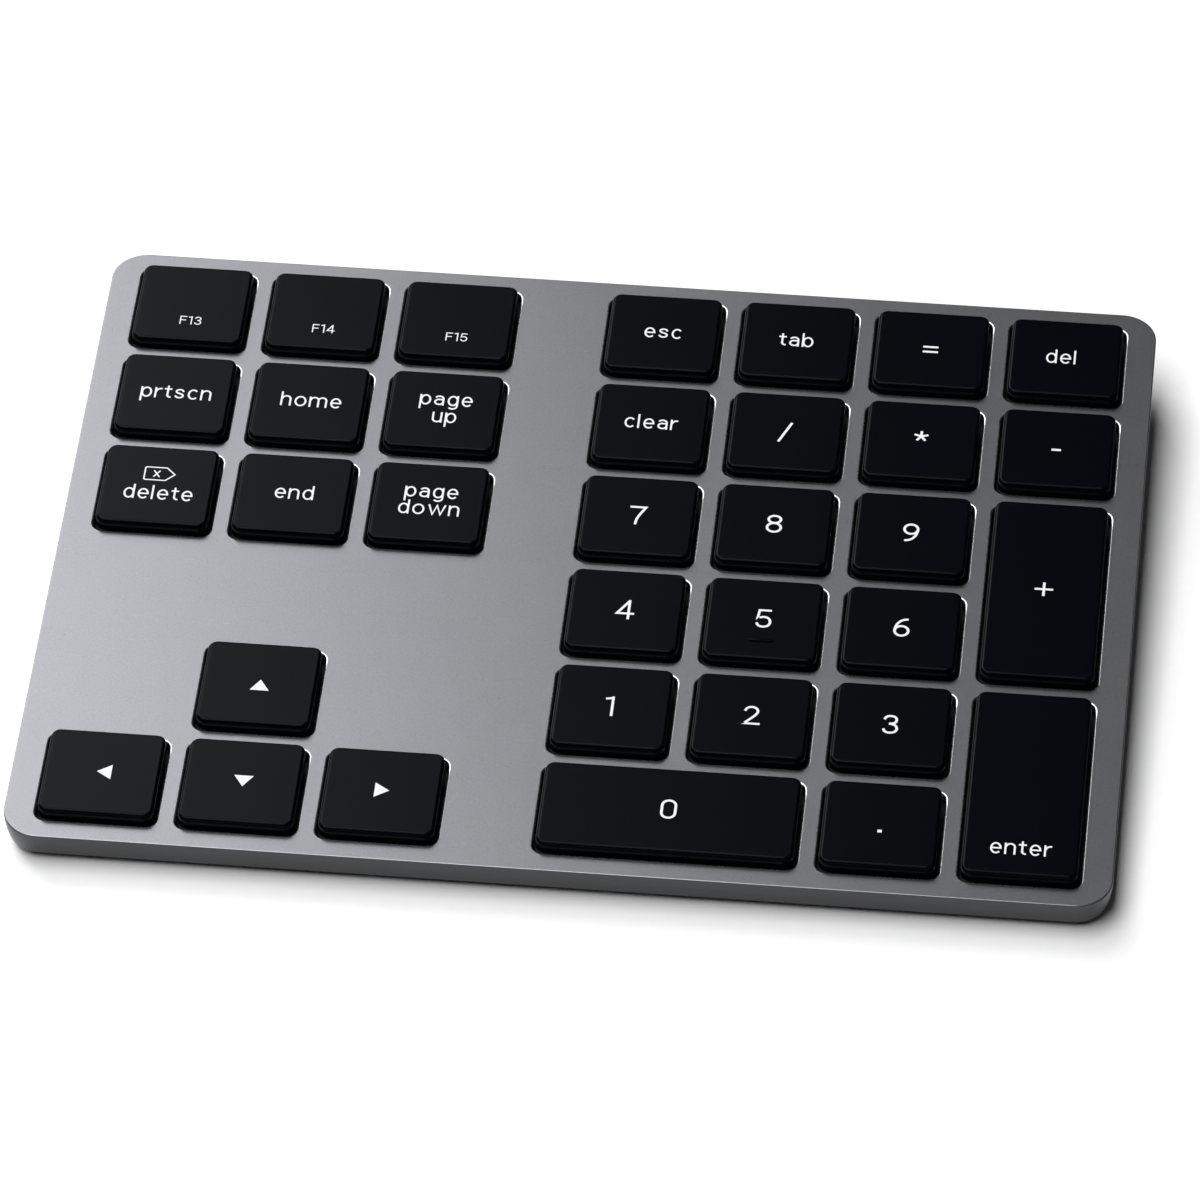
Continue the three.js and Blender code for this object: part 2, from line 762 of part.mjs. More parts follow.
place(numberPad, "main_board", mainBoard(), boardGreen);
place(numberPad, "battery_pack", batteryPack(), batteryFoil);
place(numberPad, "usb_c_port", chargingPort(), portSteel);
place(numberPad, "power_switch_body", powerSwitchBody(), portSteel);
place(numberPad, "power_switch_knob", powerSwitchKnob(), blackPlastic);
place(numberPad, "status_light_pipe", statusLightPipe(), lightDiffuser);
place(numberPad, "cable_connector", cableConnector(), blackPlastic);
place(numberPad, "radio_shield", radioShield(), stampedSteel);

export default numberPad;
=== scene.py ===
import json
import math
import bmesh
import bpy
from mathutils import Matrix, Vector, geometry


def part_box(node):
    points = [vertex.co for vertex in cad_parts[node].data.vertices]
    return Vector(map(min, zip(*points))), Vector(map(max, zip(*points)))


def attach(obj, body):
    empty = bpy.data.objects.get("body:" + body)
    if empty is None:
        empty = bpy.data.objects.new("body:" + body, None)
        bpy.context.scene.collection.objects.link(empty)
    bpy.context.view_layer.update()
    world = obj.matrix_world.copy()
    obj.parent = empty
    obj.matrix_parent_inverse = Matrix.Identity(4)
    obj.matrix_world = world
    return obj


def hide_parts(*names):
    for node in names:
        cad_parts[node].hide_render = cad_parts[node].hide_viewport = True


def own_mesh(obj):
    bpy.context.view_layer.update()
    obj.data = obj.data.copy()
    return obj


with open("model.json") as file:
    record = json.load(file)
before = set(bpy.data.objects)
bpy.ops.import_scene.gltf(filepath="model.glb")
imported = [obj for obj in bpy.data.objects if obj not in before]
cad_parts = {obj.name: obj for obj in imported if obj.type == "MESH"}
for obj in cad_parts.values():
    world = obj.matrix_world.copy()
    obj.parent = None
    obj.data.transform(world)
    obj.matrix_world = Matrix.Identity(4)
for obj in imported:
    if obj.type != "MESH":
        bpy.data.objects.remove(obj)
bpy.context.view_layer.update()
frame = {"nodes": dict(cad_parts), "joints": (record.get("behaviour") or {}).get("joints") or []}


# ---- Camera ------------------------------------
# A long lens well above the front edge, a little to the right of the middle, as a desk
# product is usually shown. The aim point is close to the centre of the key field.

AIM_POINT = Vector((0.00102, -0.00340, 0.00516))
CAMERA_DISTANCE = 1.18008
CAMERA_ELEVATION = math.radians(42.685)
CAMERA_AZIMUTH = math.radians(6.042)
CAMERA_ROLL = math.radians(-0.388)
SENSOR_WIDTH = 36
FOCAL_LENGTH = 255.77

towards_camera = Vector((
    math.sin(CAMERA_AZIMUTH) * math.cos(CAMERA_ELEVATION),
    -math.cos(CAMERA_AZIMUTH) * math.cos(CAMERA_ELEVATION),
    math.sin(CAMERA_ELEVATION),
))
camera_data = bpy.data.cameras.new("camera")
camera_data.sensor_width = SENSOR_WIDTH
camera_data.lens = FOCAL_LENGTH
camera = bpy.data.objects.new("camera", camera_data)
camera_facing = towards_camera.to_track_quat("Z", "Y").to_matrix().to_4x4()
camera_stand = Matrix.Translation(AIM_POINT + CAMERA_DISTANCE * towards_camera)
camera.matrix_world = camera_stand @ camera_facing @ Matrix.Rotation(CAMERA_ROLL, 4, "Z")
bpy.context.collection.objects.link(camera)
bpy.context.scene.camera = camera


# ---- Floor and lights --------------------------
# A white paper sweep under a long softbox that hangs to the left of the middle, so soft
# shadows fall to the right. A large softbox behind the left corner is seen in the metal.

MM = 0.001
BROAD_GRAINS = 40
BROAD_SHARE = 0.15


def srgb(code):
    """The linear colour of an sRGB hex value."""
    parts = [int(code[i:i + 2], 16) / 255 for i in (1, 3, 5)]
    return (*[p / 12.92 if p <= 0.04045 else ((p + 0.055) / 1.055) ** 2.4 for p in parts], 1)


def add_node(tree, kind, inputs=None, **settings):
    """Adds a node. Settings are its properties, and inputs are values or links by socket."""
    node = tree.nodes.new("ShaderNode" + kind)
    for name, value in settings.items():
        setattr(node, name, value)
    for key, value in (inputs or {}).items():
        if isinstance(value, bpy.types.NodeSocket):
            tree.links.new(value, node.inputs[key])
        else:
            node.inputs[key].default_value = value
    return node


def grained_material(name, dark, light, grain, depth, roughness, spread=0.06, **shader_values):
    """A finish with a fine grain and a faint wide mottle. Grain and depth are in millimetres.
    They change the colour between dark and light, and the roughness by spread."""
    material = bpy.data.materials.new(name)
    material.use_nodes = True
    tree = material.node_tree
    shader = tree.nodes["Principled BSDF"]
    place = add_node(tree, "TexCoord").outputs["Object"]
    fine = add_node(tree, "TexNoise", {"Vector": place, "Scale": 1 / (grain * MM), "Detail": 2.0})
    broad_scale = 1 / (BROAD_GRAINS * grain * MM)
    broad = add_node(tree, "TexNoise", {"Vector": place, "Scale": broad_scale})
    mix = {0: BROAD_SHARE, 2: fine.outputs["Fac"], 3: broad.outputs["Fac"]}
    mottle = add_node(tree, "Mix", mix).outputs[0]
    colours = {0: mottle, 6: srgb(dark), 7: srgb(light)}
    colour = add_node(tree, "Mix", colours, data_type="RGBA")
    limits = {"Value": mottle, "To Min": roughness - spread, "To Max": roughness + spread}
    rough = add_node(tree, "MapRange", limits)
    bump = add_node(tree, "Bump", {"Height": fine.outputs["Fac"], "Distance": depth * MM})
    tree.links.new(colour.outputs[2], shader.inputs["Base Color"])
    tree.links.new(rough.outputs["Result"], shader.inputs["Roughness"])
    tree.links.new(bump.outputs["Normal"], shader.inputs["Normal"])
    for socket, value in shader_values.items():
        shader.inputs[socket.replace("_", " ")].default_value = value
    return material


FLOOR_HALF = 3
WORLD_STRENGTH = 0.025

# Matt white paper: even and bright, with no gloss.
paper = grained_material(
    "matt_white_paper", "#f4f4f4", "#fafafa", 2, 0.01, 0.9, 0.02, Specular_IOR_Level=0.1)

floor_mesh = bpy.data.meshes.new("floor")
corners = [(x * FLOOR_HALF, y * FLOOR_HALF, 0) for x, y in ((-1, -1), (1, -1), (1, 1), (-1, 1))]
floor_mesh.from_pydata(corners, [], [(0, 1, 2, 3)])
floor_mesh.materials.append(paper)
floor = bpy.data.objects.new("floor", floor_mesh)
bpy.context.collection.objects.link(floor)


def softbox(name, position, aim, width, height, power):
    """A softbox at a position in metres that faces aim, with its sides in metres and watts."""
    data = bpy.data.lights.new(name, "AREA")
    data.shape = "RECTANGLE"
    data.size = width
    data.size_y = height
    data.energy = power
    light = bpy.data.objects.new(name, data)
    light.location = position
    light.rotation_euler = (Vector(position) - Vector(aim)).to_track_quat("Z", "Y").to_euler()
    bpy.context.collection.objects.link(light)


softbox("key_softbox", (-0.54, -0.4, 1.65), (-0.54, -0.4, 0), 1.1, 2.0, 36)
softbox("back_softbox", (-1.37, 1.87, 2.0), (0, 0, 0), 1.85, 1.85, 60)

world = bpy.data.worlds.new("studio")
world.use_nodes = True
backdrop = world.node_tree.nodes["Background"]
backdrop.inputs["Color"].default_value = srgb("#ffffff")
backdrop.inputs["Strength"].default_value = WORLD_STRENGTH
bpy.context.scene.world = world
bpy.context.scene.view_settings.view_transform = "Standard"


# ---- Base --------------------------------------
# The shallow wedge tub that closes the tray from below. Black ABS with a fine moulded grain,
# with six screw posts, four foot wells and three openings in its upright back wall.

TRAY_WIDTH = 149.7
TRAY_DEPTH = 114.3
TRAY_HEIGHT = 3.9
TRAY_RADIUS = 5

press_axis = next(j["axis"] for j in frame["joints"] if j["name"] == "press_5")
tilt = math.asin(press_axis[1])
tray_low, tray_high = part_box("top_case")
tray_middle = Vector((
    (tray_low.x + tray_high.x) / 2,
    (tray_low.y + tray_high.y) / 2 - TRAY_HEIGHT * MM * math.sin(tilt) / 2,
    tray_high.z - TRAY_DEPTH * MM / 2 * math.sin(tilt),
))

# Two frames in millimetres: one on the tilted top face of the tray, and one level on the desk.
ON_TRAY = Matrix.Translation(tray_middle) @ Matrix.Rotation(tilt, 4, "X") @ Matrix.Scale(MM, 4)
ON_DESK = Matrix.Scale(MM, 4)


def to_tray(point):
    """A point given in metres in the frame, in millimetres on the tray's top face."""
    return ON_TRAY.inverted() @ Vector(point)


# The arcs of a fully round end stay this far apart.
ROUND_SLACK = 0.01


def rounded(width, depth, radius, x=0, y=0, steps=6):
    """The outline of a rounded rectangle, anticlockwise."""
    points = []
    for quarter, (side_x, side_y) in enumerate(((1, 1), (-1, 1), (-1, -1), (1, -1))):
        for step in range(steps + 1):
            angle = (quarter + step / steps) * math.pi / 2
            points.append((
                x + side_x * (width / 2 - radius) + radius * math.cos(angle),
                y + side_y * (depth / 2 - radius) + radius * math.sin(angle),
            ))
    return points


def drawn_in(inset, width, depth, radius, x=0, y=0, steps=6):
    """The outline of a rounded rectangle that is drawn in by an inset on every side."""
    return rounded(width - 2 * inset, depth - 2 * inset, radius - inset, x, y, steps)


def circle(radius, x=0, y=0, sides=32):
    turns = [2 * math.pi * i / sides for i in range(sides)]
    return [(x + radius * math.cos(a), y + radius * math.sin(a)) for a in turns]


def loop(bm, outline, height):
    """Vertices along an outline at a height, which is a number or a function of x and y."""
    level = height if callable(height) else lambda x, y: height
    return [bm.verts.new((x, y, level(x, y))) for x, y in outline]


def skin(bm, loops, material=0):
    """Quads between each loop of vertices and the next."""
    for lower, upper in zip(loops, loops[1:]):
        for i in range(len(lower)):
            j = (i + 1) % len(lower)
            bm.faces.new((lower[i], lower[j], upper[j], upper[i])).material_index = material


def closed_skin(bm, loops, material=0):
    """A skin over the loops, with a face across the first and the last of them."""
    skin(bm, loops, material)
    for end in (loops[0], loops[-1]):
        bm.faces.new(end).material_index = material


def numbered(loops):
    """The numbers of the points of each loop, counted on from loop to loop."""
    faces, start = [], 0
    for one in loops:
        faces.append(list(range(start, start + len(one))))
        start += len(one)
    return faces


def fill(bm, outer, holes=(), material=0):
    """Flat triangles between an outer loop of vertices and the loops of its holes."""
    verts = [v for one in (outer, *holes) for v in one]
    flat = [v.co.xy for v in verts]
    faces = numbered((outer, *holes))
    _, _, triangles, origin, _, inside = geometry.delaunay_2d_cdt(flat, [], faces, 1, 1e-6)
    for triangle, owners in zip(triangles, inside):
        if list(owners) == [0]:
            bm.faces.new([verts[origin[k][0]] for k in triangle]).material_index = material


def lathe(bm, profile, x=0, y=0, sides=32, material=0):
    """A turned shape from (radius, height) pairs, closed at both ends."""
    rings = [loop(bm, circle(radius, x, y, sides), height) for radius, height in profile]
    closed_skin(bm, rings, material)


def prism(bm, outline, bottom, top, material=0):
    """A straight shape of one outline between two heights."""
    closed_skin(bm, [loop(bm, outline, bottom), loop(bm, outline, top)], material)


CREASE = 32


def new_piece(name, bm, materials, matrix, crease=CREASE):
    """An object from a mesh in millimetres, set in its frame, with its flat faces kept flat."""
    bmesh.ops.recalc_face_normals(bm, faces=bm.faces)
    mesh = bpy.data.meshes.new(name)
    bm.to_mesh(mesh)
    bm.free()
    mesh.transform(matrix)
    for material in materials:
        mesh.materials.append(material)
    mesh.shade_smooth()
    mesh.set_sharp_from_angle(angle=math.radians(crease))
    obj = bpy.data.objects.new(name, mesh)
    bpy.context.collection.objects.link(obj)
    smoothing = obj.modifiers.new("even_normals", "WEIGHTED_NORMAL")
    smoothing.keep_sharp = True
    return obj


def combine(obj, bm, matrix, operation):
    """Cuts a mesh out of an object, or joins it on."""
    tool = new_piece("tool", bm, [], matrix)
    tool.modifiers.clear()
    step = obj.modifiers.new("combine", "BOOLEAN")
    step.operation = operation
    step.solver = "EXACT"
    step.object = tool
    weighted = obj.modifiers["even_normals"]
    weighted.show_viewport = False
    graph = bpy.context.evaluated_depsgraph_get()
    result = bpy.data.meshes.new_from_object(obj.evaluated_get(graph))
    obj.modifiers.remove(step)
    weighted.show_viewport = True
    obj.data = result
    result.shade_smooth()
    result.set_sharp_from_angle(angle=math.radians(CREASE))
    bpy.data.objects.remove(tool)


BASE_GAP = 0.1
BASE_INSET = 1
BASE_FOOT_INSET = 5
BASE_LEVEL = 0.6
BASE_FLOOR = 1
BASE_WALL = 1.4
POST_RADIUS = 2.6
SCREW_RADIUS = 0.7
SCREW_HEAD_RADIUS = 1.4
SCREW_HEAD_TOP = -4.6
FOOT_RADIUS = 4.5
FOOT_RECESS = 0.4
# How far the bottom edge is drawn in, and its height there.
EDGE_STEPS = ((0.6, 0), (0.25, 0.05), (0, 0.2))
CUT_PAST = 1
CUT_BELOW = 0.5
SCREW_GAP = 0.2
SEAT_GAP = 0.05
WELL_LEAD = 0.3
# The radius of a foot well and the height above the desk, from the desk up.
FOOT_WELL = (
    (FOOT_RADIUS + 0.5, BASE_LEVEL - 0.3), (FOOT_RADIUS + 0.2, BASE_LEVEL),
    (FOOT_RADIUS + 0.1, BASE_LEVEL + 0.1), (FOOT_RADIUS + 0.1, BASE_LEVEL + FOOT_RECESS))
FOOT_SIDES = 48

# Moulded black ABS with a spark-eroded grain: dull, slightly grey where light grazes it.
black_abs = grained_material("moulded_black_abs", "#141517", "#1c1d1f", 0.25, 0.012, 0.55)

screws = [n for n in frame["nodes"] if n.startswith("case_screw")]
feet = [n for n in frame["nodes"] if n.startswith("foot_")]


def middle(node):
    low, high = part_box(node)
    return (low + high) / 2


screw_places = [to_tray(middle(n)) for n in screws]
foot_places = [middle(n) / MM for n in feet]


def at_level(level):
    """The height on the tray's frame of points that stand at one height above the desk."""
    return lambda x, y: (level - tray_middle.z / MM - y * math.sin(tilt)) / math.cos(tilt)


def tub_outline(side_inset, back_inset, radius):
    depth = TRAY_DEPTH - side_inset - back_inset
    return rounded(TRAY_WIDTH - 2 * side_inset, depth, radius, 0, (side_inset - back_inset) / 2)


rim = -TRAY_HEIGHT - BASE_GAP
bm = bmesh.new()
loops = []
for inset, rise in EDGE_STEPS:
    outline = tub_outline(BASE_FOOT_INSET + inset, BASE_INSET + inset, TRAY_RADIUS - BASE_INSET)
    loops.append(loop(bm, outline, at_level(BASE_LEVEL + rise)))
loops.append(loop(bm, tub_outline(BASE_INSET, BASE_INSET, TRAY_RADIUS - BASE_INSET), rim))
closed_skin(bm, loops)
base = new_piece("base", bm, [black_abs], ON_TRAY)

bm = bmesh.new()
room = tub_outline(BASE_FOOT_INSET + BASE_WALL, BASE_INSET + BASE_WALL, TRAY_RADIUS / 2)
prism(bm, room, at_level(BASE_LEVEL + BASE_FLOOR), rim + CUT_PAST)
combine(base, bm, ON_TRAY, "DIFFERENCE")

bm = bmesh.new()
for place in screw_places:
    bottom = at_level(BASE_LEVEL + BASE_FLOOR / 2)(0, place.y)
    lathe(bm, [(POST_RADIUS, bottom), (POST_RADIUS, rim)], place.x, place.y)
combine(base, bm, ON_TRAY, "UNION")

bm = bmesh.new()
for place in screw_places:
    well, shank = SCREW_HEAD_RADIUS + SCREW_GAP, SCREW_RADIUS + SCREW_GAP
    bottom = at_level(BASE_LEVEL)(0, place.y)
    seat = SCREW_HEAD_TOP + SEAT_GAP
    if bottom + WELL_LEAD > SCREW_HEAD_TOP:
        mouth = [(well, bottom - CUT_BELOW)]
    else:
        mouth = [
            (well + WELL_LEAD + CUT_BELOW, bottom - CUT_BELOW), (well + WELL_LEAD, bottom),
            (well, bottom + WELL_LEAD),
        ]
    profile = [*mouth, (well, seat), (shank, seat), (shank, 0)]
    lathe(bm, profile, place.x, place.y)
combine(base, bm, ON_TRAY, "DIFFERENCE")

bm = bmesh.new()
for place in foot_places:
    lathe(bm, FOOT_WELL, place.x, place.y, FOOT_SIDES)
combine(base, bm, ON_DESK, "DIFFERENCE")

PORT_GAP = 0.3
PORT_OPENING_RADIUS = 1.9
KNOB_GAP = 0.3
KNOB_OPENING_RADIUS = 0.35
LIGHT_GAP = 0.15
SWITCH_TRAVEL = 2
LIGHT_RADIUS = 0.8
OPENING_FLARE = 0.25
FLARE_SINK = 0.05
CUT_START = 50.5
CUT_END = 60
ALONG_Y = Matrix.Rotation(math.radians(-90), 4, "X")


def facing_back(x, y, level):
    """A frame whose outline plane stands upright, facing the back, with depth along Y."""
    return ON_DESK @ Matrix.Translation((x, y, level)) @ ALONG_Y


port_low, port_high = (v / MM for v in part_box("usb_c_port"))
knob_low, knob_high = (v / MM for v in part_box("power_switch_knob"))
light_low, light_high = (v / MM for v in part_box("status_light_pipe"))
port_middle = (port_low + port_high) / 2
fitting_level = port_middle.z
knob_width = knob_high.x - knob_low.x
knob_height = knob_high.z - knob_low.z
switch_x = (knob_low.x + knob_high.x) / 2 + SWITCH_TRAVEL / 2
light_x = (light_low.x + light_high.x) / 2
port_width = port_high.x - port_low.x
port_height = port_high.z - port_low.z

light_hole = LIGHT_RADIUS + LIGHT_GAP
openings = [
    (port_middle.x, port_width + 2 * PORT_GAP, port_height + 2 * PORT_GAP, PORT_OPENING_RADIUS),
    (switch_x, knob_width + SWITCH_TRAVEL + 2 * KNOB_GAP, knob_height + 2 * KNOB_GAP,
     KNOB_OPENING_RADIUS),
    (light_x, 2 * light_hole, 2 * light_hole, light_hole - ROUND_SLACK),
]
back_y = (ON_TRAY @ Vector((0, TRAY_DEPTH / 2 - BASE_INSET, 0))).y / MM
for x, *sizes in openings:
    face = back_y - FLARE_SINK
    outline = rounded(*sizes)
    flared = drawn_in(-OPENING_FLARE, *sizes)
    bm = bmesh.new()
    loops = [
        loop(bm, outline, CUT_START - face),
        loop(bm, outline, 0),
        loop(bm, flared, OPENING_FLARE),
        loop(bm, flared, CUT_END - face),
    ]
    closed_skin(bm, loops)
    combine(base, bm, facing_back(x, face, fitting_level), "DIFFERENCE")

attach(base, "case")
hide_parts("bottom_cover")


# ---- Feet --------------------------------------
# Four round pads of black silicone rubber, stuck in their wells in the base. Each has a
# softly rounded rim and a shallow dish in its middle, dull from moulding.

FOOT_EDGE = 0.22
FOOT_EDGE_STEPS = 4
FOOT_RIM_SIDES = 64
DISH_BORDER = 2.0
DISH_SLOPE = 0.2
DISH_DEPTH = 0.06

foot_rubber = grained_material("moulded_foot_rubber", "#1d1e1f", "#262728", 0.12, 0.01, 0.8)

for node, place in zip(feet, foot_places):
    low, high = (v.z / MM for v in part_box(node))
    bm = bmesh.new()
    profile = [
        (FOOT_RADIUS - DISH_BORDER - DISH_SLOPE, low + DISH_DEPTH),
        (FOOT_RADIUS - DISH_BORDER, low),
        (FOOT_RADIUS - FOOT_EDGE, low),
    ]
    for step in range(1, FOOT_EDGE_STEPS + 1):
        angle = step / FOOT_EDGE_STEPS * math.pi / 2
        profile.append((
            FOOT_RADIUS - FOOT_EDGE + FOOT_EDGE * math.sin(angle),
            low + FOOT_EDGE - FOOT_EDGE * math.cos(angle),
        ))
    profile.append((FOOT_RADIUS, high))
    lathe(bm, profile, place.x, place.y, FOOT_RIM_SIDES)
    foot = new_piece("rubber_" + node, bm, [foot_rubber], ON_DESK)
    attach(foot, "case")
    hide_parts(node)


# ---- Battery -----------------------------------
# A flat lithium polymer cell in an aluminium laminate pouch, stuck to the floor of the base
# with tape. The pouch is soft, so its faces are slightly crowned and its edges folded.

POUCH_RADIUS = 1.5
POUCH_CREASE = 60
# How far the pouch is drawn in, and at what share of its thickness.
POUCH_PROFILE = (
    (2.4, 0), (1.0, 0.04), (0.3, 0.16), (0, 0.5), (0.3, 0.84), (1.0, 0.96), (2.4, 1))

# Aluminium laminate: a bright, slightly crumpled foil under a clear film.
pouch = grained_material(
    "aluminium_laminate_pouch", "#a9adb3", "#c4c8cd", 1.5, 0.05, 0.32, 0.08, Metallic=0.85)

battery_low, battery_high = (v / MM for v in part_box("battery_pack"))
battery_size = battery_high - battery_low
battery_middle = (battery_low + battery_high) / 2
bm = bmesh.new()
loops = []
for inset, share in POUCH_PROFILE:
    outline = rounded(
        battery_size.x - 2 * inset, battery_size.y - 2 * inset, POUCH_RADIUS,
        battery_middle.x, battery_middle.y)
    loops.append(loop(bm, outline, battery_low.z + share * battery_size.z))
closed_skin(bm, loops)
battery = new_piece("battery_cell", bm, [pouch], ON_DESK, POUCH_CREASE)
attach(battery, "case")
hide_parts("battery_pack")


# ---- Main board and its fittings ---------------
# A green glass-epoxy board on the floor of the base, along the back edge. It carries the
# radio under a tinned steel can, the flat cable connector and the rear fittings.

# Solder mask over copper: glossy green, paler in spots where the copper shows through.
solder_mask = grained_material("green_solder_mask", "#143d2b", "#1d5740", 0.5, 0.02, 0.3)
# Tinned steel: bright and slightly uneven, as it left the tin bath.
tinned_steel = grained_material(
    "tinned_steel_can", "#a7abaf", "#c3c6c9", 0.4, 0.004, 0.3, 0.06, Metallic=1.0)
# Glass-filled nylon: black and faintly mottled, with a dull gloss.
moulded_connector = grained_material("glass_filled_nylon", "#17181a", "#232427", 0.2, 0.01, 0.5)


def coat(node, material):
    """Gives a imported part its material."""
    for slot in frame["nodes"][node].material_slots:
        slot.material = material


coat("main_board", solder_mask)
coat("radio_shield", tinned_steel)
coat("cable_connector", moulded_connector)
coat("power_switch_body", tinned_steel)


# ---- Charging port -----------------------------
# A deep-drawn stainless shell with a rolled lip, soldered to the board. Inside stands the
# tongue, moulded in black nylon with twelve gold-plated contacts on each side.

PORT_SHELL = 0.3
TONGUE_WIDTH = 6.7
TONGUE_HEIGHT = 0.7
TONGUE_LENGTH = 5.2
TONGUE_RADIUS = 0.2
TONGUE_ROOT = 0.2
SOCKET_FLOOR = 1
CONTACT_COUNT = 12
CONTACT_PITCH = 0.5
CONTACT_WIDTH = 0.25
CONTACT_THICKNESS = 0.06
CONTACT_MARGIN = 0.4
PORT_STEPS = 10

# Drawn stainless steel: smooth and bright, a little softer than a mirror.
drawn_steel = grained_material(
    "drawn_stainless_steel", "#b9bbbe", "#cdd0d2", 0.15, 0.001, 0.24, 0.05, Metallic=1.0)
# Gold plate: thin, warm and bright over nickel.
gold_plate = grained_material("gold_plate", "#e0b45c", "#f0c978", 0.1, 0.001, 0.25, Metallic=1.0)

port_depth = port_high.y - port_low.y
socket_floor = SOCKET_FLOOR - port_depth
shell_profile = (
    (0, -port_depth), (0, -0.1), (0.03, -0.03), (0.1, 0), (PORT_SHELL - 0.08, 0),
    (PORT_SHELL, -0.1), (PORT_SHELL, socket_floor))
bm = bmesh.new()
shell_sizes = port_width, port_height, port_height / 2 - ROUND_SLACK
loops = [
    loop(bm, drawn_in(inset, *shell_sizes, steps=PORT_STEPS), depth)
    for inset, depth in shell_profile]
closed_skin(bm, loops)
prism(
    bm, rounded(TONGUE_WIDTH, TONGUE_HEIGHT, TONGUE_RADIUS), socket_floor - TONGUE_ROOT,
    socket_floor + TONGUE_LENGTH, 1)
for contact in range(CONTACT_COUNT):
    x = (contact - (CONTACT_COUNT - 1) / 2) * CONTACT_PITCH
    for side in (-1, 1):
        pad = rounded(
            CONTACT_WIDTH, CONTACT_THICKNESS, 0.02, x, side * (TONGUE_HEIGHT / 2 + 0.01), 2)
        prism(
            bm, pad, socket_floor + CONTACT_MARGIN,
            socket_floor + TONGUE_LENGTH - CONTACT_MARGIN, 2)
port = new_piece(
    "charging_port", bm, [drawn_steel, moulded_connector, gold_plate],
    facing_back(port_middle.x, port_high.y, fitting_level))
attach(port, "case")
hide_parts("usb_c_port")


# ---- Power switch knob -------------------------
# The slider of a small slide switch, moulded in black ABS with three grip ridges on its end.
# It slides two millimetres sideways in its slot in the base.

RIDGES = 3
RIDGE_GROOVE = 0.22
GROOVE_RADIUS = 0.1
GROOVE_DEPTH = 0.2
KNOB_RADIUS = 0.25
KNOB_EDGE = ((0, -0.12), (0.05, -0.03), (0.14, 0))

knob_length = knob_high.y - knob_low.y
bm = bmesh.new()
loops = []
for inset, depth in ((0, -knob_length), *KNOB_EDGE):
    outline = rounded(knob_width - 2 * inset, knob_height - 2 * inset, KNOB_RADIUS)
    loops.append(loop(bm, outline, depth))
closed_skin(bm, loops)
knob_middle = (knob_low + knob_high) / 2
at_knob = facing_back(knob_middle.x, knob_high.y, knob_middle.z)
knob = new_piece("switch_knob", bm, [black_abs], at_knob)
bm = bmesh.new()
for ridge in range(RIDGES + 1):
    x = (ridge - RIDGES / 2) * knob_width / (RIDGES + 1)
    groove = rounded(RIDGE_GROOVE, knob_height + CUT_PAST, GROOVE_RADIUS, x, 0, 2)
    prism(bm, groove, -GROOVE_DEPTH, CUT_PAST)
combine(knob, bm, at_knob, "DIFFERENCE")
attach(knob, "power_switch_knob")
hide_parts("power_switch_knob")


# ---- Status light ------------------------------
# A light pipe of frosted polycarbonate, whose domed end fills a small hole in the back wall.
# It stands on the board over its lamp.

# Frosted polycarbonate: milky, with a soft gloss and light passing under its skin.
frosted = grained_material(
    "frosted_polycarbonate", "#dfe5e8", "#f2f6f7", 0.2, 0.004, 0.35,
    Subsurface_Weight=0.6, Subsurface_Scale=0.0008)

LIGHT_LENGTH = 4.4
LIGHT_DOME = 0.25
LIGHT_DOME_STEPS = 5
LIGHT_SIDES = 28
LIGHT_CREASE = 50
STAND_WIDTH = 2.4
STAND_DEPTH = 2
STAND_RADIUS = 0.2
STAND_BACK = 3.6
STAND_SINK = 0.2

bm = bmesh.new()
profile = [(LIGHT_RADIUS, -LIGHT_LENGTH), (LIGHT_RADIUS, -LIGHT_DOME)]
for step in range(1, LIGHT_DOME_STEPS):
    angle = step / LIGHT_DOME_STEPS * math.pi / 2
    profile.append((LIGHT_RADIUS * math.cos(angle), LIGHT_DOME * (math.sin(angle) - 1)))
lathe(bm, profile, sides=LIGHT_SIDES)
at_light = facing_back(light_x, light_high.y, fitting_level)
pipe = new_piece("light_pipe", bm, [frosted], at_light, LIGHT_CREASE)
bm = bmesh.new()
stand = rounded(
    STAND_WIDTH, STAND_DEPTH, STAND_RADIUS, light_x, light_high.y - STAND_BACK)
prism(bm, stand, light_low.z, fitting_level - STAND_SINK)
combine(pipe, bm, ON_DESK, "UNION")
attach(pipe, "case")
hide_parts("status_light_pipe")


# ---- Backplate and switch membrane -------------
# The backplate is stamped from zinc-coated steel sheet, and stiffens the key field. The
# membrane on it is a stack of polyester films with printed silver tracks.

# Zinc-coated sheet: grey, with the broad dull spangle of the coating.
zinc_steel = grained_material(
    "zinc_coated_steel", "#8e9296", "#b4b8bb", 3, 0.02, 0.42, 0.1, Metallic=1.0)
# Polyester film: smooth and glossy, greyed by the silver printed under it.
polyester = grained_material(
    "polyester_film", "#5e6663", "#8d9694", 1.0, 0.004, 0.3, 0.1, Coat_Weight=0.4)

coat("key_backplate", zinc_steel)
coat("switch_membrane", polyester)


# ---- Dome sheet --------------------------------
# One sheet of silicone rubber with a hollow dome under every key. A pressed key folds its
# dome, which snaps back. The sheet is dull, and its near-black colour is painted shade that makes
# the gaps round the keys black.

SHEET_TOP = -2.15
SHEET_THICKNESS = 0.15
STACK_MARGIN = 2.1
STACK_RADIUS = 3
BOSS_CLEARANCE_RADIUS = 1.9
DOME_WALL = 0.28
# The radius and height of a dome, from its foot up.
DOME_PROFILE = (
    (2.7, -2.15), (2.62, -1.9), (2.35, -1.2), (2.02, -0.5), (1.82, -0.2),
    (1.62, -0.08), (1.5, 0.05), (1.5, 0.2), (1.4, 0.3),
)
DOME_HOLLOW_LOOPS = 5
DOME_SIDES = 24
DOME_CREASE = 50
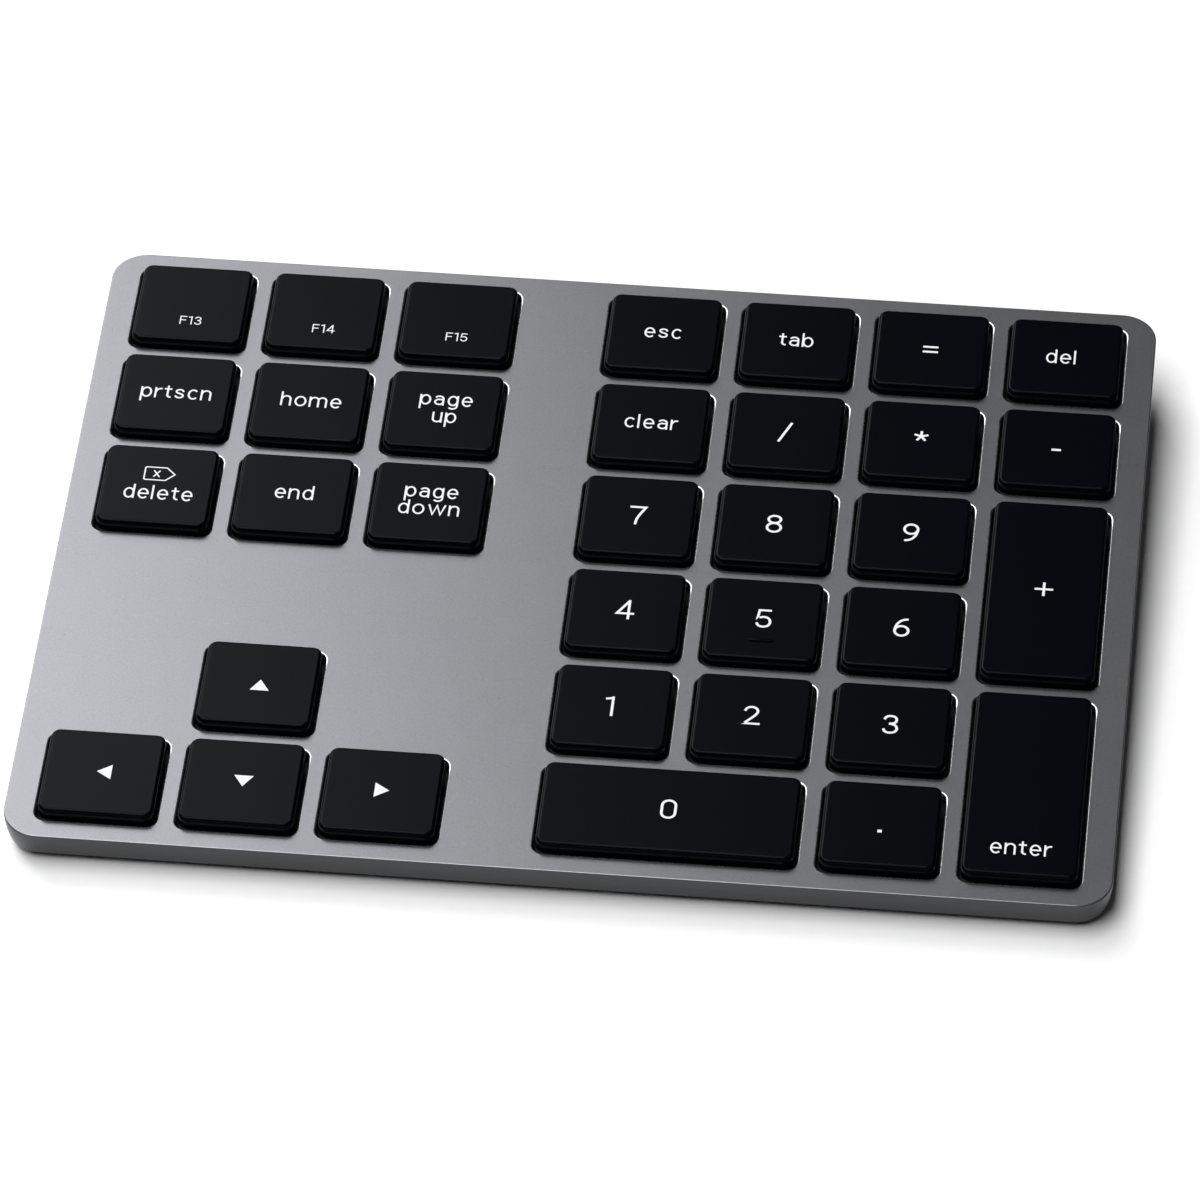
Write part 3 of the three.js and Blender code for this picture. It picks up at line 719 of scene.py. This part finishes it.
# How far a key stands above the tray's face, and how far it reaches below it.
KEY_RISE = 1.6
KEY_SKIRT = 0.5

# Silicone rubber, dull and nearly black: its dark colour is painted shade for the gaps round the
# keys.
silicone = grained_material("silicone_rubber_painted_shade", "#0c0d0d", "#141515", 0.3, 0.01, 0.75)

bm = bmesh.new()
outline = rounded(TRAY_WIDTH - 2 * STACK_MARGIN, TRAY_DEPTH - 2 * STACK_MARGIN, STACK_RADIUS)
sheet_loops = []
for height in (SHEET_TOP - SHEET_THICKNESS, SHEET_TOP):
    rings = [loop(bm, outline, height)]
    for place in screw_places:
        rings.append(loop(bm, circle(BOSS_CLEARANCE_RADIUS, place.x, place.y), height))
    fill(bm, rings[0], rings[1:])
    sheet_loops.append(rings)
for lower, upper in zip(*sheet_loops):
    skin(bm, [lower, upper])
sheet = new_piece("silicone_sheet", bm, [silicone], ON_TRAY)
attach(sheet, "case")
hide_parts("dome_sheet")

key_nodes = [n for n in frame["nodes"] if n.startswith("key_") and n != "key_backplate"]
key_places = {}
for node in key_nodes:
    low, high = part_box(node)
    centre = to_tray(middle(node))
    width = (high.x - low.x) / MM
    rise = (KEY_RISE + KEY_SKIRT) * math.sin(tilt)
    depth = ((high.y - low.y) / MM - rise) / math.cos(tilt)
    key_places[node] = (centre.x, centre.y, width, depth)

plate_up = (ON_TRAY.to_3x3() @ Vector((0, 0, 1))).normalized()
for node, (x, y, width, depth) in key_places.items():
    inner = [(radius - DOME_WALL, height - DOME_WALL / 2) for radius, height in DOME_PROFILE]
    inner[0] = (inner[0][0], SHEET_TOP)
    bm = bmesh.new()
    outer_loops = [loop(bm, circle(r, x, y, DOME_SIDES), z) for r, z in DOME_PROFILE]
    inner_loops = [
        loop(bm, circle(r, x, y, DOME_SIDES), z) for r, z in inner[:DOME_HOLLOW_LOOPS]]
    skin(bm, [*reversed(inner_loops), *outer_loops])
    bm.faces.new(inner_loops[-1])
    bm.faces.new(outer_loops[-1])
    dome = new_piece("dome_" + node[4:], bm, [silicone], ON_TRAY, DOME_CREASE)
    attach(dome, "case")
    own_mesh(dome)


# ---- Scissor levers ----------------------------
# Two interlocked frames of acetal under each key keep it level as it goes down. They fold
# flat together, so the pair is drawn as one piece. It is fixed to the case and stays still.

LEVER_LENGTH = 12.4
LEVER_THICKNESS = 0.6
LEVER_BAR = 0.8
LEVER_SLOPE = 0.155
LEVER_MIDDLE = -0.85
LEVER_WIDTHS = (9.8, 7.6)
LEVER_CORNERS = ((0, 0.8), (LEVER_BAR, 0.3))
LEVER_CORNER_STEPS = 3

# White acetal: smooth and waxy, a little grey in the shade of the keys.
acetal = grained_material("white_acetal", "#b9bab5", "#cccdc8", 0.4, 0.004, 0.4)

for node, (x, y, width, depth) in key_places.items():
    lengthwise = depth > width
    bm = bmesh.new()
    for frame_width, slope in zip(LEVER_WIDTHS, (LEVER_SLOPE, -LEVER_SLOPE)):
        sizes = [
            (LEVER_LENGTH - 2 * cut, frame_width - 2 * cut, radius)
            for cut, radius in LEVER_CORNERS
        ]
        rings = []
        for side in (-0.5, 0.5):
            for long_side, short_side, radius in sizes:
                spans = (short_side, long_side) if lengthwise else (long_side, short_side)
                outline = rounded(*spans, radius, x, y, LEVER_CORNER_STEPS)
                rings.append([
                    bm.verts.new((
                        px, py,
                        LEVER_MIDDLE + side * LEVER_THICKNESS
                        + slope * ((py - y) if lengthwise else (px - x)),
                    ))
                    for px, py in outline
                ])
        low_outer, low_inner, high_outer, high_inner = rings
        skin(bm, [low_outer, high_outer, high_inner, low_inner, low_outer])
    levers = new_piece("scissor_levers_" + node[4:], bm, [acetal], ON_TRAY)
    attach(levers, "case")
    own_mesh(levers)


# ---- Stabiliser wires --------------------------
# Spring steel wire bent into a wide U under each double key. The bar turns in clips on the
# backplate, and both arm ends hook under the key, so that the key can't tip sideways.

# Polished spring steel: bright drawn wire with a soft sheen.
spring_steel = grained_material(
    "polished_spring_steel", "#9a9da1", "#b3b6ba", 0.2, 0.002, 0.28, 0.05, Metallic=1.0)
for node in frame["nodes"]:
    if node.startswith("stabiliser_wire"):
        coat(node, spring_steel)


# ---- Tray --------------------------------------
# The aluminium top: a plate with its side walls, milled from one slab, with an opening for
# each key. It is bead blasted and anodised grey, and each opening is cut with a bright edge.

PLATE_THICKNESS = 1
WALL_THICKNESS = 1.5
HOLE_GAP = 0.45
HOLE_RADIUS = 1.5
CUT_EDGE = 0.25
CUT_STEPS = 4
OUTER_EDGE = 0.16
BOTTOM_EDGE = 0.12
WALL_BOW = 13
WALL_STEPS = 6
OUTER_STEPS = 4
BOSS_RADIUS = 1.5
PILOT_RADIUS = 0.8
PILOT_TOP = -1.4
CORNER_STEPS = 8
TRAY_CORNER_STEPS = 12
FLAT_ENOUGH = 0.99999

# Bead-blasted anodised aluminium: an even satin grey with a very fine sparkle. The bead marks
# are about 0.08 mm wide and are drawn at 0.2 mm so that they show.
anodised = grained_material(
    "bead_blasted_anodised_aluminium", "#66676b", "#828386", 0.2, 0.003, 0.297, 0.05,
    Metallic=1.0)

# The side walls: the same film, a little rougher, in a darker grey that is painted shade.
anodised_side_painted_shade = grained_material(
    "anodised_aluminium_side_wall_painted_shade", "#47484b", "#535457", 0.2, 0.003, 0.34, 0.05, Metallic=1.0)

# The cut edges: the same grey, but smooth from the milling tool, so they catch the light.
cut_aluminium = grained_material(
    "milled_edge_aluminium", "#b4b6ba", "#c6c8cc", 0.3, 0.001, 0.28, 0.04, Metallic=1.0)


def tray_outline(inset):
    return drawn_in(inset, TRAY_WIDTH, TRAY_DEPTH, TRAY_RADIUS, steps=TRAY_CORNER_STEPS)


# The outside of the tray from its top edge down: a small round, then a wall that bows in.
bm = bmesh.new()
outer = []
for step in range(OUTER_STEPS + 1):
    angle = step / OUTER_STEPS * math.pi / 2
    outline = tray_outline(OUTER_EDGE * (1 - math.sin(angle)))
    outer.append(loop(bm, outline, -OUTER_EDGE * (1 - math.cos(angle))))
for step in range(1, WALL_STEPS + 1):
    drop = (TRAY_HEIGHT - BOTTOM_EDGE) * step / WALL_STEPS
    inset = WALL_BOW - math.sqrt(WALL_BOW ** 2 - drop ** 2)
    outer.append(loop(bm, tray_outline(inset), -drop))
outer.append(loop(bm, tray_outline(inset + BOTTOM_EDGE), -TRAY_HEIGHT))
pocket = [
    loop(bm, tray_outline(WALL_THICKNESS), z) for z in (-TRAY_HEIGHT, -PLATE_THICKNESS)]
skin(bm, outer[:3])
# The wall below the round takes the side material, whose darker grey is painted shade.
skin(bm, outer[2:], 2)
skin(bm, [outer[-1], pocket[0], pocket[1]])

top_holes, under_holes = [], []
for x, y, width, depth in key_places.values():
    opening = (
        width + 2 * HOLE_GAP, depth + 2 * HOLE_GAP, HOLE_RADIUS, x, y, CORNER_STEPS)
    edge = []
    for step in range(CUT_STEPS + 1):
        angle = step / CUT_STEPS * math.pi / 2
        outline = drawn_in(CUT_EDGE * (math.sin(angle) - 1), *opening)
        edge.append(loop(bm, outline, CUT_EDGE * (math.cos(angle) - 1)))
    under = loop(bm, rounded(*opening), -PLATE_THICKNESS)
    skin(bm, edge, 1)
    skin(bm, [edge[-1], under])
    top_holes.append(edge[0])
    under_holes.append(under)
for place in screw_places:
    ends = []
    for height in (-PLATE_THICKNESS, -TRAY_HEIGHT):
        ends.append(loop(bm, circle(BOSS_RADIUS, place.x, place.y), height))
    hole = circle(PILOT_RADIUS, place.x, place.y)
    pilot = [loop(bm, hole, z) for z in (-TRAY_HEIGHT, PILOT_TOP)]
    skin(bm, [*ends, *pilot])
    bm.faces.new(pilot[1])
    under_holes.append(ends[0])
fill(bm, outer[0], top_holes)
fill(bm, pocket[1], under_holes)
tray = new_piece("aluminium_tray", bm, [anodised, cut_aluminium, anodised_side_painted_shade], ON_TRAY)

# The border of the flat top face is kept crisp, so that the rounded edges leave it evenly lit.
border = {}
for face in tray.data.polygons:
    if face.normal.dot(plate_up) > FLAT_ENOUGH:
        for key in face.edge_keys:
            border[key] = key not in border
for edge in tray.data.edges:
    if border.get(edge.key):
        edge.use_edge_sharp = True
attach(tray, "case")
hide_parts("top_case")


# ---- Keycaps -----------------------------------
# Thin caps of black ABS with a satin top and a small round on every edge. Each is hollow, and
# a pad under its middle rests on its dome. The 5 has a moulded bar for finding it by touch.

KEY_CEILING = 0.6
KEY_WALL = 1.1
KEY_RADIUS = 1.3
KEY_ROUND = 0.45
KEY_ROUND_STEPS = 5
PAD_RADIUS = 1.4
PAD_BOTTOM = 0.33
LIP = 0.12
BAR_LENGTH = 3.4
BAR_WIDTH = 0.5
BAR_HEIGHT = 0.2
BAR_OFFSET = -4.2
# How far the bar is drawn in, and its height there.
BAR_PROFILE = (
    (0, -0.3), (0, BAR_HEIGHT / 2), (0.08, BAR_HEIGHT), (0.16, BAR_HEIGHT * 1.1))

# Satin black ABS: a deep, faintly cool black with a fine, even grain and a soft sheen.
keycap_abs = grained_material(
    "satin_black_keycap_abs", "#010307", "#020409", 0.12, 0.001, 0.242, 0.03,
    Specular_IOR_Level=0.0435)

for node, (x, y, width, depth) in key_places.items():
    bm = bmesh.new()
    hollow = (width - 2 * KEY_WALL, depth - 2 * KEY_WALL, KEY_RADIUS / 2, x, y)
    ceiling = loop(bm, rounded(*hollow), KEY_CEILING)
    pad_outline = circle(PAD_RADIUS, x, y, DOME_SIDES)
    pad = [loop(bm, pad_outline, z) for z in (KEY_CEILING, PAD_BOTTOM)]
    fill(bm, ceiling, [pad[0]])
    skin(bm, pad)
    bm.faces.new(pad[1])
    skirt = [ceiling, loop(bm, rounded(*hollow), LIP - KEY_SKIRT)]
    for inset, height in ((KEY_WALL - LIP, 0), (LIP, 0), (0, LIP)):
        outline = rounded(width - 2 * inset, depth - 2 * inset, KEY_RADIUS - inset / 2, x, y)
        skirt.append(loop(bm, outline, height - KEY_SKIRT))
    for step in range(KEY_ROUND_STEPS + 1):
        angle = step / KEY_ROUND_STEPS * math.pi / 2
        inset = KEY_ROUND * (1 - math.cos(angle))
        outline = drawn_in(inset, width, depth, KEY_RADIUS, x, y)
        skirt.append(loop(bm, outline, KEY_RISE - KEY_ROUND + KEY_ROUND * math.sin(angle)))
    skin(bm, skirt)
    bm.faces.new(skirt[-1])
    cap = new_piece("keycap_" + node[4:], bm, [keycap_abs], ON_TRAY)
    if node == "key_5":
        bm = bmesh.new()
        bar = BAR_LENGTH, BAR_WIDTH, BAR_WIDTH / 2 - ROUND_SLACK, x, y + BAR_OFFSET
        closed_skin(bm, [
            loop(bm, drawn_in(inset, *bar), KEY_RISE + height)
            for inset, height in BAR_PROFILE])
        combine(cap, bm, ON_TRAY, "UNION")
    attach(cap, node)
    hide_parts(node)


# ---- Legends -----------------------------------
# Letters, digits and arrows in white ink, pad printed on the key tops and cured hard. They
# are drawn as pen strokes of one width with square ends, in a plain upright sans serif.

PRINT_HEIGHT = 0.02
PRINT_SINK = 0.01
X_HEIGHT = 2.05
ASCENDER = 2.75
DESCENDER = -0.8
WORD_PEN = 0.27
DIGIT_PEN = 0.36
LETTER_GAP = 0.29
MITRE_LIMIT = 2.2


def bow(x, y, across, up, start, end, steps=16):
    """Points on an ellipse between two angles in degrees."""
    angles = [math.radians(start + (end - start) * i / steps) for i in range(steps + 1)]
    return [(x + across * math.cos(a), y + up * math.sin(a)) for a in angles]


def ring(x, y, across, up):
    """A closed ellipse: its last point is its first."""
    points = bow(x, y, across, up, 0, 360, 32)
    return points[:-1] + points[:1]


def curve(*points, steps=6):
    """A smooth line through points."""
    knots = [points[0], *points, points[-1]]
    line = []
    for a, b, c, d in zip(knots, knots[1:], knots[2:], knots[3:]):
        for i in range(steps):
            t = i / steps
            line.append(tuple(
                0.5 * (2 * q + (r - p) * t + (2 * p - 5 * q + 4 * r - s) * t * t
                       + (3 * q - p - 3 * r + s) * t ** 3)
                for p, q, r, s in zip(a, b, c, d)))
    return [*line, points[-1]]


def turned(strokes, width, height):
    """The strokes turned by half a turn in a box of that width and height."""
    return [[(width - x, height - y) for x, y in stroke] for stroke in strokes]


half_x = X_HEIGHT / 2
bowl_up = half_x - WORD_PEN / 2
stem = WORD_PEN / 2
bowl = ring(0.85, half_x, 0.63, bowl_up)
arch_y = X_HEIGHT - WORD_PEN / 2 - 0.58
arch = [*bow(0.8, arch_y, 0.58, 0.58, 180, 0), (1.38, 0)]

# Each letter is its width and its strokes, in millimetres from its left end and its baseline.
LETTERS = {
    "a": (1.6, [
        [*bow(0.79, 1.32, 0.57, 0.51, 155, 0), (1.36, 0)],
        [(1.36, 1.17), (0.78, 1.17), *bow(0.78, 0.69, 0.56, 0.5, 95, 265),
         *bow(0.85, 0.76, 0.5, 0.57, 275, 350)],
    ]),
    "b": (1.7, [[(stem, ASCENDER), (stem, 0)], bowl]),
    "c": (1.62, [bow(0.86, half_x, 0.64, bowl_up, 42, 318)]),
    "d": (1.7, [[(1.48, ASCENDER), (1.48, 0)], bowl]),
    "e": (1.72, [[(0.25, 1.03), (1.5 + stem, 1.03)], bow(0.86, half_x, 0.64, bowl_up, 0, 318)]),
    "g": (1.7, [bowl, [(1.48, X_HEIGHT), (1.48, 0.1), *bow(0.87, 0, 0.61, 0.58, 0, -145)]]),
    "h": (1.6, [[(stem, ASCENDER), (stem, 0)], arch]),
    "l": (0.44, [[(stem, ASCENDER), (stem, 0)]]),
    "m": (2.64, [
        [(stem, X_HEIGHT), (stem, 0)],
        [*bow(0.77, arch_y + 0.03, 0.55, 0.55, 180, 0), (1.32, 0)],
        [*bow(1.87, arch_y + 0.03, 0.55, 0.55, 180, 0), (2.42, 0)],
    ]),
    "n": (1.6, [[(stem, X_HEIGHT), (stem, 0)], arch]),
    "o": (1.86, [ring(0.93, half_x, 0.71, bowl_up)]),
    "p": (1.7, [[(stem, X_HEIGHT), (stem, DESCENDER)], bowl]),
    "r": (1.06, [[(stem, X_HEIGHT), (stem, 0)], bow(0.87, 1.18, 0.65, 0.65, 180, 75)]),
    "s": (1.58, [curve(
        (1.33, 1.42), (1.14, 1.73), (0.78, 1.83), (0.4, 1.7), (0.31, 1.42), (0.52, 1.17),
        (0.85, 1.05), (1.2, 0.87), (1.3, 0.57), (1.1, 0.3), (0.76, 0.22), (0.4, 0.33),
        (0.22, 0.62),
    )]),
    "t": (1.12, [
        [(0.5, 2.5), (0.5, 0.62), *bow(0.92, 0.62, 0.42, 0.4, 180, 285)],
        [(0, 1.85), (1.06, 1.85)],
    ]),
    "u": (1.6, [turned([arch], 1.6, X_HEIGHT)[0], [(1.38, X_HEIGHT), (1.38, 0)]]),
    "w": (2.7, [[
        (0.2, X_HEIGHT), (0.8, 0.14), (1.35, X_HEIGHT - 0.14), (1.9, 0.14), (2.5, X_HEIGHT)]]),
}
six = [
    curve((2.06, 3.4), (1.5, 3.32), (0.95, 2.98), (0.5, 2.3), (0.3, 1.5), (0.28, 1.2)),
    ring(1.22, 1.18, 0.94, 0.91),
]
DIGITS = {
    "0": (2.44, [[
        *bow(1.22, 2.5, 0.92, 0.91, 0, 180), *bow(1.22, 1.16, 0.92, 0.91, 180, 360),
        (2.14, 2.5)]]),
    "1": (1.26, [[(0, 3.2), (1.0, 3.36)], [(0.99, 3.66), (0.99, 0)]]),
    "2": (2.46, [[
        *curve(
            (0.29, 2.6), (0.55, 3.15), (1.16, 3.39), (1.8, 3.15), (2.03, 2.55), (1.75, 1.9),
            (1.1, 1.15), (0.3, 0.27)),
        (2.46, 0.27)]]),
    "3": (2.4, [
        curve(
            (0.33, 2.72), (0.6, 3.2), (1.18, 3.4), (1.8, 3.2), (2.0, 2.66), (1.75, 2.14),
            (1.0, 1.95)),
        curve(
            (1.0, 1.95), (1.78, 1.74), (2.12, 1.1), (1.86, 0.5), (1.2, 0.27), (0.55, 0.46),
            (0.27, 0.98)),
    ]),
    "4": (2.62, [[(1.86, 3.55), (0.25, 1.08), (2.62, 1.08)], [(1.83, 3.66), (1.83, 0)]]),
    "5": (2.42, [[
        (2.2, 3.39), (0.56, 3.39), (0.36, 1.78),
        *curve(
            (0.62, 1.95), (1.22, 2.14), (1.86, 1.9), (2.13, 1.22), (1.88, 0.52), (1.22, 0.27),
            (0.58, 0.45), (0.28, 0.98))]]),
    "6": (2.44, six),
    "7": (2.5, [[(0, 3.39), *curve((2.2, 3.39), (1.62, 2.3), (1.1, 1.1), (0.95, 0))]]),
    "8": (2.44, [ring(1.22, 2.7, 0.85, 0.69), ring(1.22, 1.12, 0.95, 0.85)]),
    "9": (2.44, turned(six, 2.44, 3.66)),
    "F": (2.2, [[(0.27, 0), (0.27, 3.39), (2.2, 3.39)], [(0.27, 1.85), (2.0, 1.85)]]),
    "/": (1.9, [[(0.12, -0.25), (1.78, 3.6)]]),
    "-": (1.32, [[(0, 1.5), (1.32, 1.5)]]),
    "+": (2.56, [[(0, 1.8), (2.56, 1.8)], [(1.28, 3.1), (1.28, 0.5)]]),
    "=": (2.16, [[(0, 2.2), (2.16, 2.2)], [(0, 1.22), (2.16, 1.22)]]),
    ".": (0.58, [[(0, 0.3), (0.58, 0.3)]]),
    "*": (2.0, [
        [(1.0, 2.5), bow(1.0, 2.5, 1.02, 1.02, a, a)[0]] for a in (90, 162, 234, 306, 18)]),
}


def text_strokes(word, x, baseline, glyphs=LETTERS, pen=WORD_PEN, size=1.0, gap=LETTER_GAP):
    """The signs of a word centred on x: each is its strokes and its pen width."""
    width = sum(glyphs[c][0] for c in word) * size + gap * (len(word) - 1)
    signs, start = [], x - width / 2
    for letter in word:
        signs.append(([
            [(start + px * size, baseline + py * size) for px, py in stroke]
            for stroke in glyphs[letter][1]
        ], pen))
        start += glyphs[letter][0] * size + gap
    return signs


def digit_strokes(symbol, x, baseline):
    """The sign of one large digit or symbol."""
    return text_strokes(symbol, x, baseline, DIGITS, DIGIT_PEN)


def stroke_quads(points, pen):
    """The four-sided faces of one pen stroke, mitred at its corners."""
    closed = points[0] == points[-1]
    points = [Vector(p) for p in (points[:-1] if closed else points)]
    count = len(points)
    sides = []
    for i, point in enumerate(points):
        before = points[i - 1] if closed or i > 0 else None
        after = points[(i + 1) % count] if closed or i + 1 < count else None
        into = (point - before).normalized() if before is not None else None
        out = (after - point).normalized() if after is not None else into
        into = into if into is not None else out
        middle_way = (into + out).normalized()
        across = Vector((-middle_way.y, middle_way.x))
        stretch = min(1 / max(across.dot(Vector((-into.y, into.x))), 1e-3), MITRE_LIMIT)
        sides.append((point + across * pen / 2 * stretch, point - across * pen / 2 * stretch))
    last = count if closed else count - 1
    return [
        (sides[i][1], sides[(i + 1) % count][1], sides[(i + 1) % count][0], sides[i][0])
        for i in range(last)
    ]


def print_film(bm, shapes):
    """A thin closed film over the union of flat shapes that touch."""
    points = [p for shape in shapes for p in shape]
    flat, _, triangles, _, _, inside = geometry.delaunay_2d_cdt(
        points, [], numbered(shapes), 1, 1e-5)
    triangles = [t for t, owners in zip(triangles, inside) if owners]
    levels = []
    for height in (KEY_RISE - PRINT_SINK, KEY_RISE + PRINT_HEIGHT):
        levels.append([bm.verts.new((p.x, p.y, height)) for p in flat])
    edges = []
    for triangle in triangles:
        edges += zip(triangle, (*triangle[1:], triangle[0]))
        bm.faces.new([levels[1][k] for k in triangle])
        bm.faces.new([levels[0][k] for k in reversed(triangle)])
    known = set(edges)
    for a, b in edges:
        if (b, a) not in known:
            bm.faces.new((levels[0][a], levels[0][b], levels[1][b], levels[1][a]))


ARROW_BASE = 2.65
ARROW_HEIGHT = 2.0


def arrow(x, y, angle):
    """A filled triangle that points along an angle in degrees."""
    tip, back, half_base = ARROW_HEIGHT / 2, -ARROW_HEIGHT / 2, ARROW_BASE / 2
    corners = [(tip, 0), (back, half_base), (back, -half_base)]
    spin = Matrix.Rotation(math.radians(angle), 2)
    return [Vector((x, y)) + spin @ Vector(corner) for corner in corners]


ICON_PEN = 0.2
erase_icon = [
    ([[(0, 1.24), (-2.0, 1.24), (-2.14, 1.1), (-2.14, -1.1), (-2.0, -1.24), (0.9, -1.24),
       (2.12, 0), (0.9, 1.24), (0, 1.24)]], ICON_PEN),
    ([[(-0.86, 0.62), (0.0, -0.62)], [(-0.86, -0.62), (0.0, 0.62)]], ICON_PEN),
]

FUNCTION_SIZE = 0.46
FUNCTION_PEN = 0.17
FUNCTION_GAP = 0.24
FUNCTION_PLACE = (0.18, -4.42)


def function_strokes(word):
    return text_strokes(
        word, *FUNCTION_PLACE, DIGITS, FUNCTION_PEN, FUNCTION_SIZE, FUNCTION_GAP)


def shifted(signs, x, y):
    """The signs moved by x and y."""
    return [
        ([[(px + x, py + y) for px, py in stroke] for stroke in strokes], pen)
        for strokes, pen in signs]


# What is printed on each key, in millimetres from the middle of its top.
LEGENDS = {
    "f13": function_strokes("F13"),
    "f14": function_strokes("F14"),
    "f15": function_strokes("F15"),
    "print_screen": text_strokes("prtscn", 0.14, -1.19),
    "home": text_strokes("home", 0.28, -1.14),
    "page_up": text_strokes("page", 0.21, 0.81) + text_strokes("up", 0.25, -2.61),
    "forward_delete": shifted(erase_icon, 0.04, 2.07) + text_strokes("delete", 0.31, -2.97),
    "end": text_strokes("end", 0.18, -1.17),
    "page_down": text_strokes("page", 0.24, 0.78) + text_strokes("down", 0.17, -2.56),
    "escape": text_strokes("esc", -0.04, -1.19),
    "tab": text_strokes("tab", -0.1, -1.19),
    "equals": digit_strokes("=", -0.08, -1.8),
    "delete": text_strokes("del", -0.6, -1.28),
    "clear": text_strokes("clear", 0, -1.19),
    "divide": digit_strokes("/", -0.12, -1.86),
    "multiply": text_strokes("*", -0.08, -1.8, DIGITS, 0.36),
    "minus": text_strokes("-", -0.14, -1.8, DIGITS, 0.4),
    "7": digit_strokes("7", 0, -1.82),
    "8": digit_strokes("8", -0.08, -1.82),
    "9": digit_strokes("9", -0.11, -1.81),
    "plus": digit_strokes("+", -0.11, -1.91),
    "4": digit_strokes("4", -0.03, -1.82),
    "5": digit_strokes("5", 0.05, -1.83),
    "6": digit_strokes("6", 0, -1.83),
    "1": digit_strokes("1", -0.32, -1.88),
    "2": digit_strokes("2", 0, -1.84),
    "3": digit_strokes("3", -0.14, -1.84),
    "enter": text_strokes("enter", -0.07, -13.24),
    "0": digit_strokes("0", -0.05, -1.8),
    "point": text_strokes(".", -0.07, -1.71, DIGITS, 0.5),
}
ARROWS = {
    "arrow_up": arrow(0.16, -0.4, 90),
    "arrow_left": arrow(0.3, 0, 180),
    "arrow_down": arrow(0.18, 0, 270),
    "arrow_right": arrow(0, 0, 0),
}

# White pad-printing ink: an opaque, slightly grey white, faintly rough from the pad.
white_ink = grained_material("white_pad_print_ink", "#dcdddf", "#e6e7e8", 0.1, 0.001, 0.5)

for node, (x, y, width, depth) in key_places.items():
    key = node[4:]
    signs = [[ARROWS[key]]] if key in ARROWS else [
        [quad for stroke in strokes for quad in stroke_quads(stroke, pen)]
        for strokes, pen in LEGENDS[key]]
    bm = bmesh.new()
    for shapes in signs:
        print_film(bm, [[Vector(p) + Vector((x, y)) for p in shape] for shape in shapes])
    bmesh.ops.delete(bm, geom=[v for v in bm.verts if not v.link_faces], context="VERTS")
    legend = new_piece("legend_" + key, bm, [white_ink], ON_TRAY)
    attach(legend, node)


# ---- Case screws -------------------------------
# Six small pan-head screws of blackened steel with a cross recess. They go up through the
# posts of the base into the bosses of the tray, and hold the two together.

SCREW_LENGTH = 3
SCREW_HEAD_HEIGHT = 0.4
THREAD_PITCH = 0.35
THREAD_DEPTH = 0.1
THREAD_START = 0.3
THREAD_CREST = 0.3
TIP_LENGTH = 0.5
TIP_RADIUS = 0.15
HEAD_ROUND = ((0.35, 0), (0.1, 0.07), (0, 0.2))
SCREW_SIDES = 28
CROSS_WIDTH = 0.36
CROSS_LENGTH = 1.7
CROSS_DEPTH = 0.25

# Steel blackened in an oxide bath: dark grey with an oily sheen.
blackened_steel = grained_material(
    "blackened_steel", "#2b2c2e", "#3c3d40", 0.15, 0.003, 0.4, 0.06, Metallic=1.0)

for node, place in zip(screws, screw_places):
    tip = SCREW_HEAD_TOP + SCREW_LENGTH
    head_bottom = SCREW_HEAD_TOP - SCREW_HEAD_HEIGHT
    root = SCREW_RADIUS - THREAD_DEPTH
    profile = [(SCREW_HEAD_RADIUS - inset, head_bottom + rise) for inset, rise in HEAD_ROUND]
    profile += [(SCREW_HEAD_RADIUS, SCREW_HEAD_TOP), (root, SCREW_HEAD_TOP)]
    for thread in range(int((SCREW_LENGTH - TIP_LENGTH) / THREAD_PITCH)):
        height = SCREW_HEAD_TOP + (thread + THREAD_START) * THREAD_PITCH
        profile += [
            (root, height), (SCREW_RADIUS, height + THREAD_PITCH * THREAD_CREST),
            (root, height + 2 * THREAD_PITCH * THREAD_CREST),
        ]
    profile.append((TIP_RADIUS, tip))
    bm = bmesh.new()
    lathe(bm, profile, place.x, place.y, SCREW_SIDES)
    screw = new_piece("screw_" + node[-1], bm, [blackened_steel], ON_TRAY)
    for spans in ((CROSS_LENGTH, CROSS_WIDTH), (CROSS_WIDTH, CROSS_LENGTH)):
        bm = bmesh.new()
        cross = rounded(*spans, CROSS_WIDTH / 2 - ROUND_SLACK, place.x, place.y, 2)
        prism(bm, cross, head_bottom - CUT_BELOW, head_bottom + CROSS_DEPTH)
        combine(screw, bm, ON_TRAY, "DIFFERENCE")
    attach(screw, "case")
    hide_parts(node)
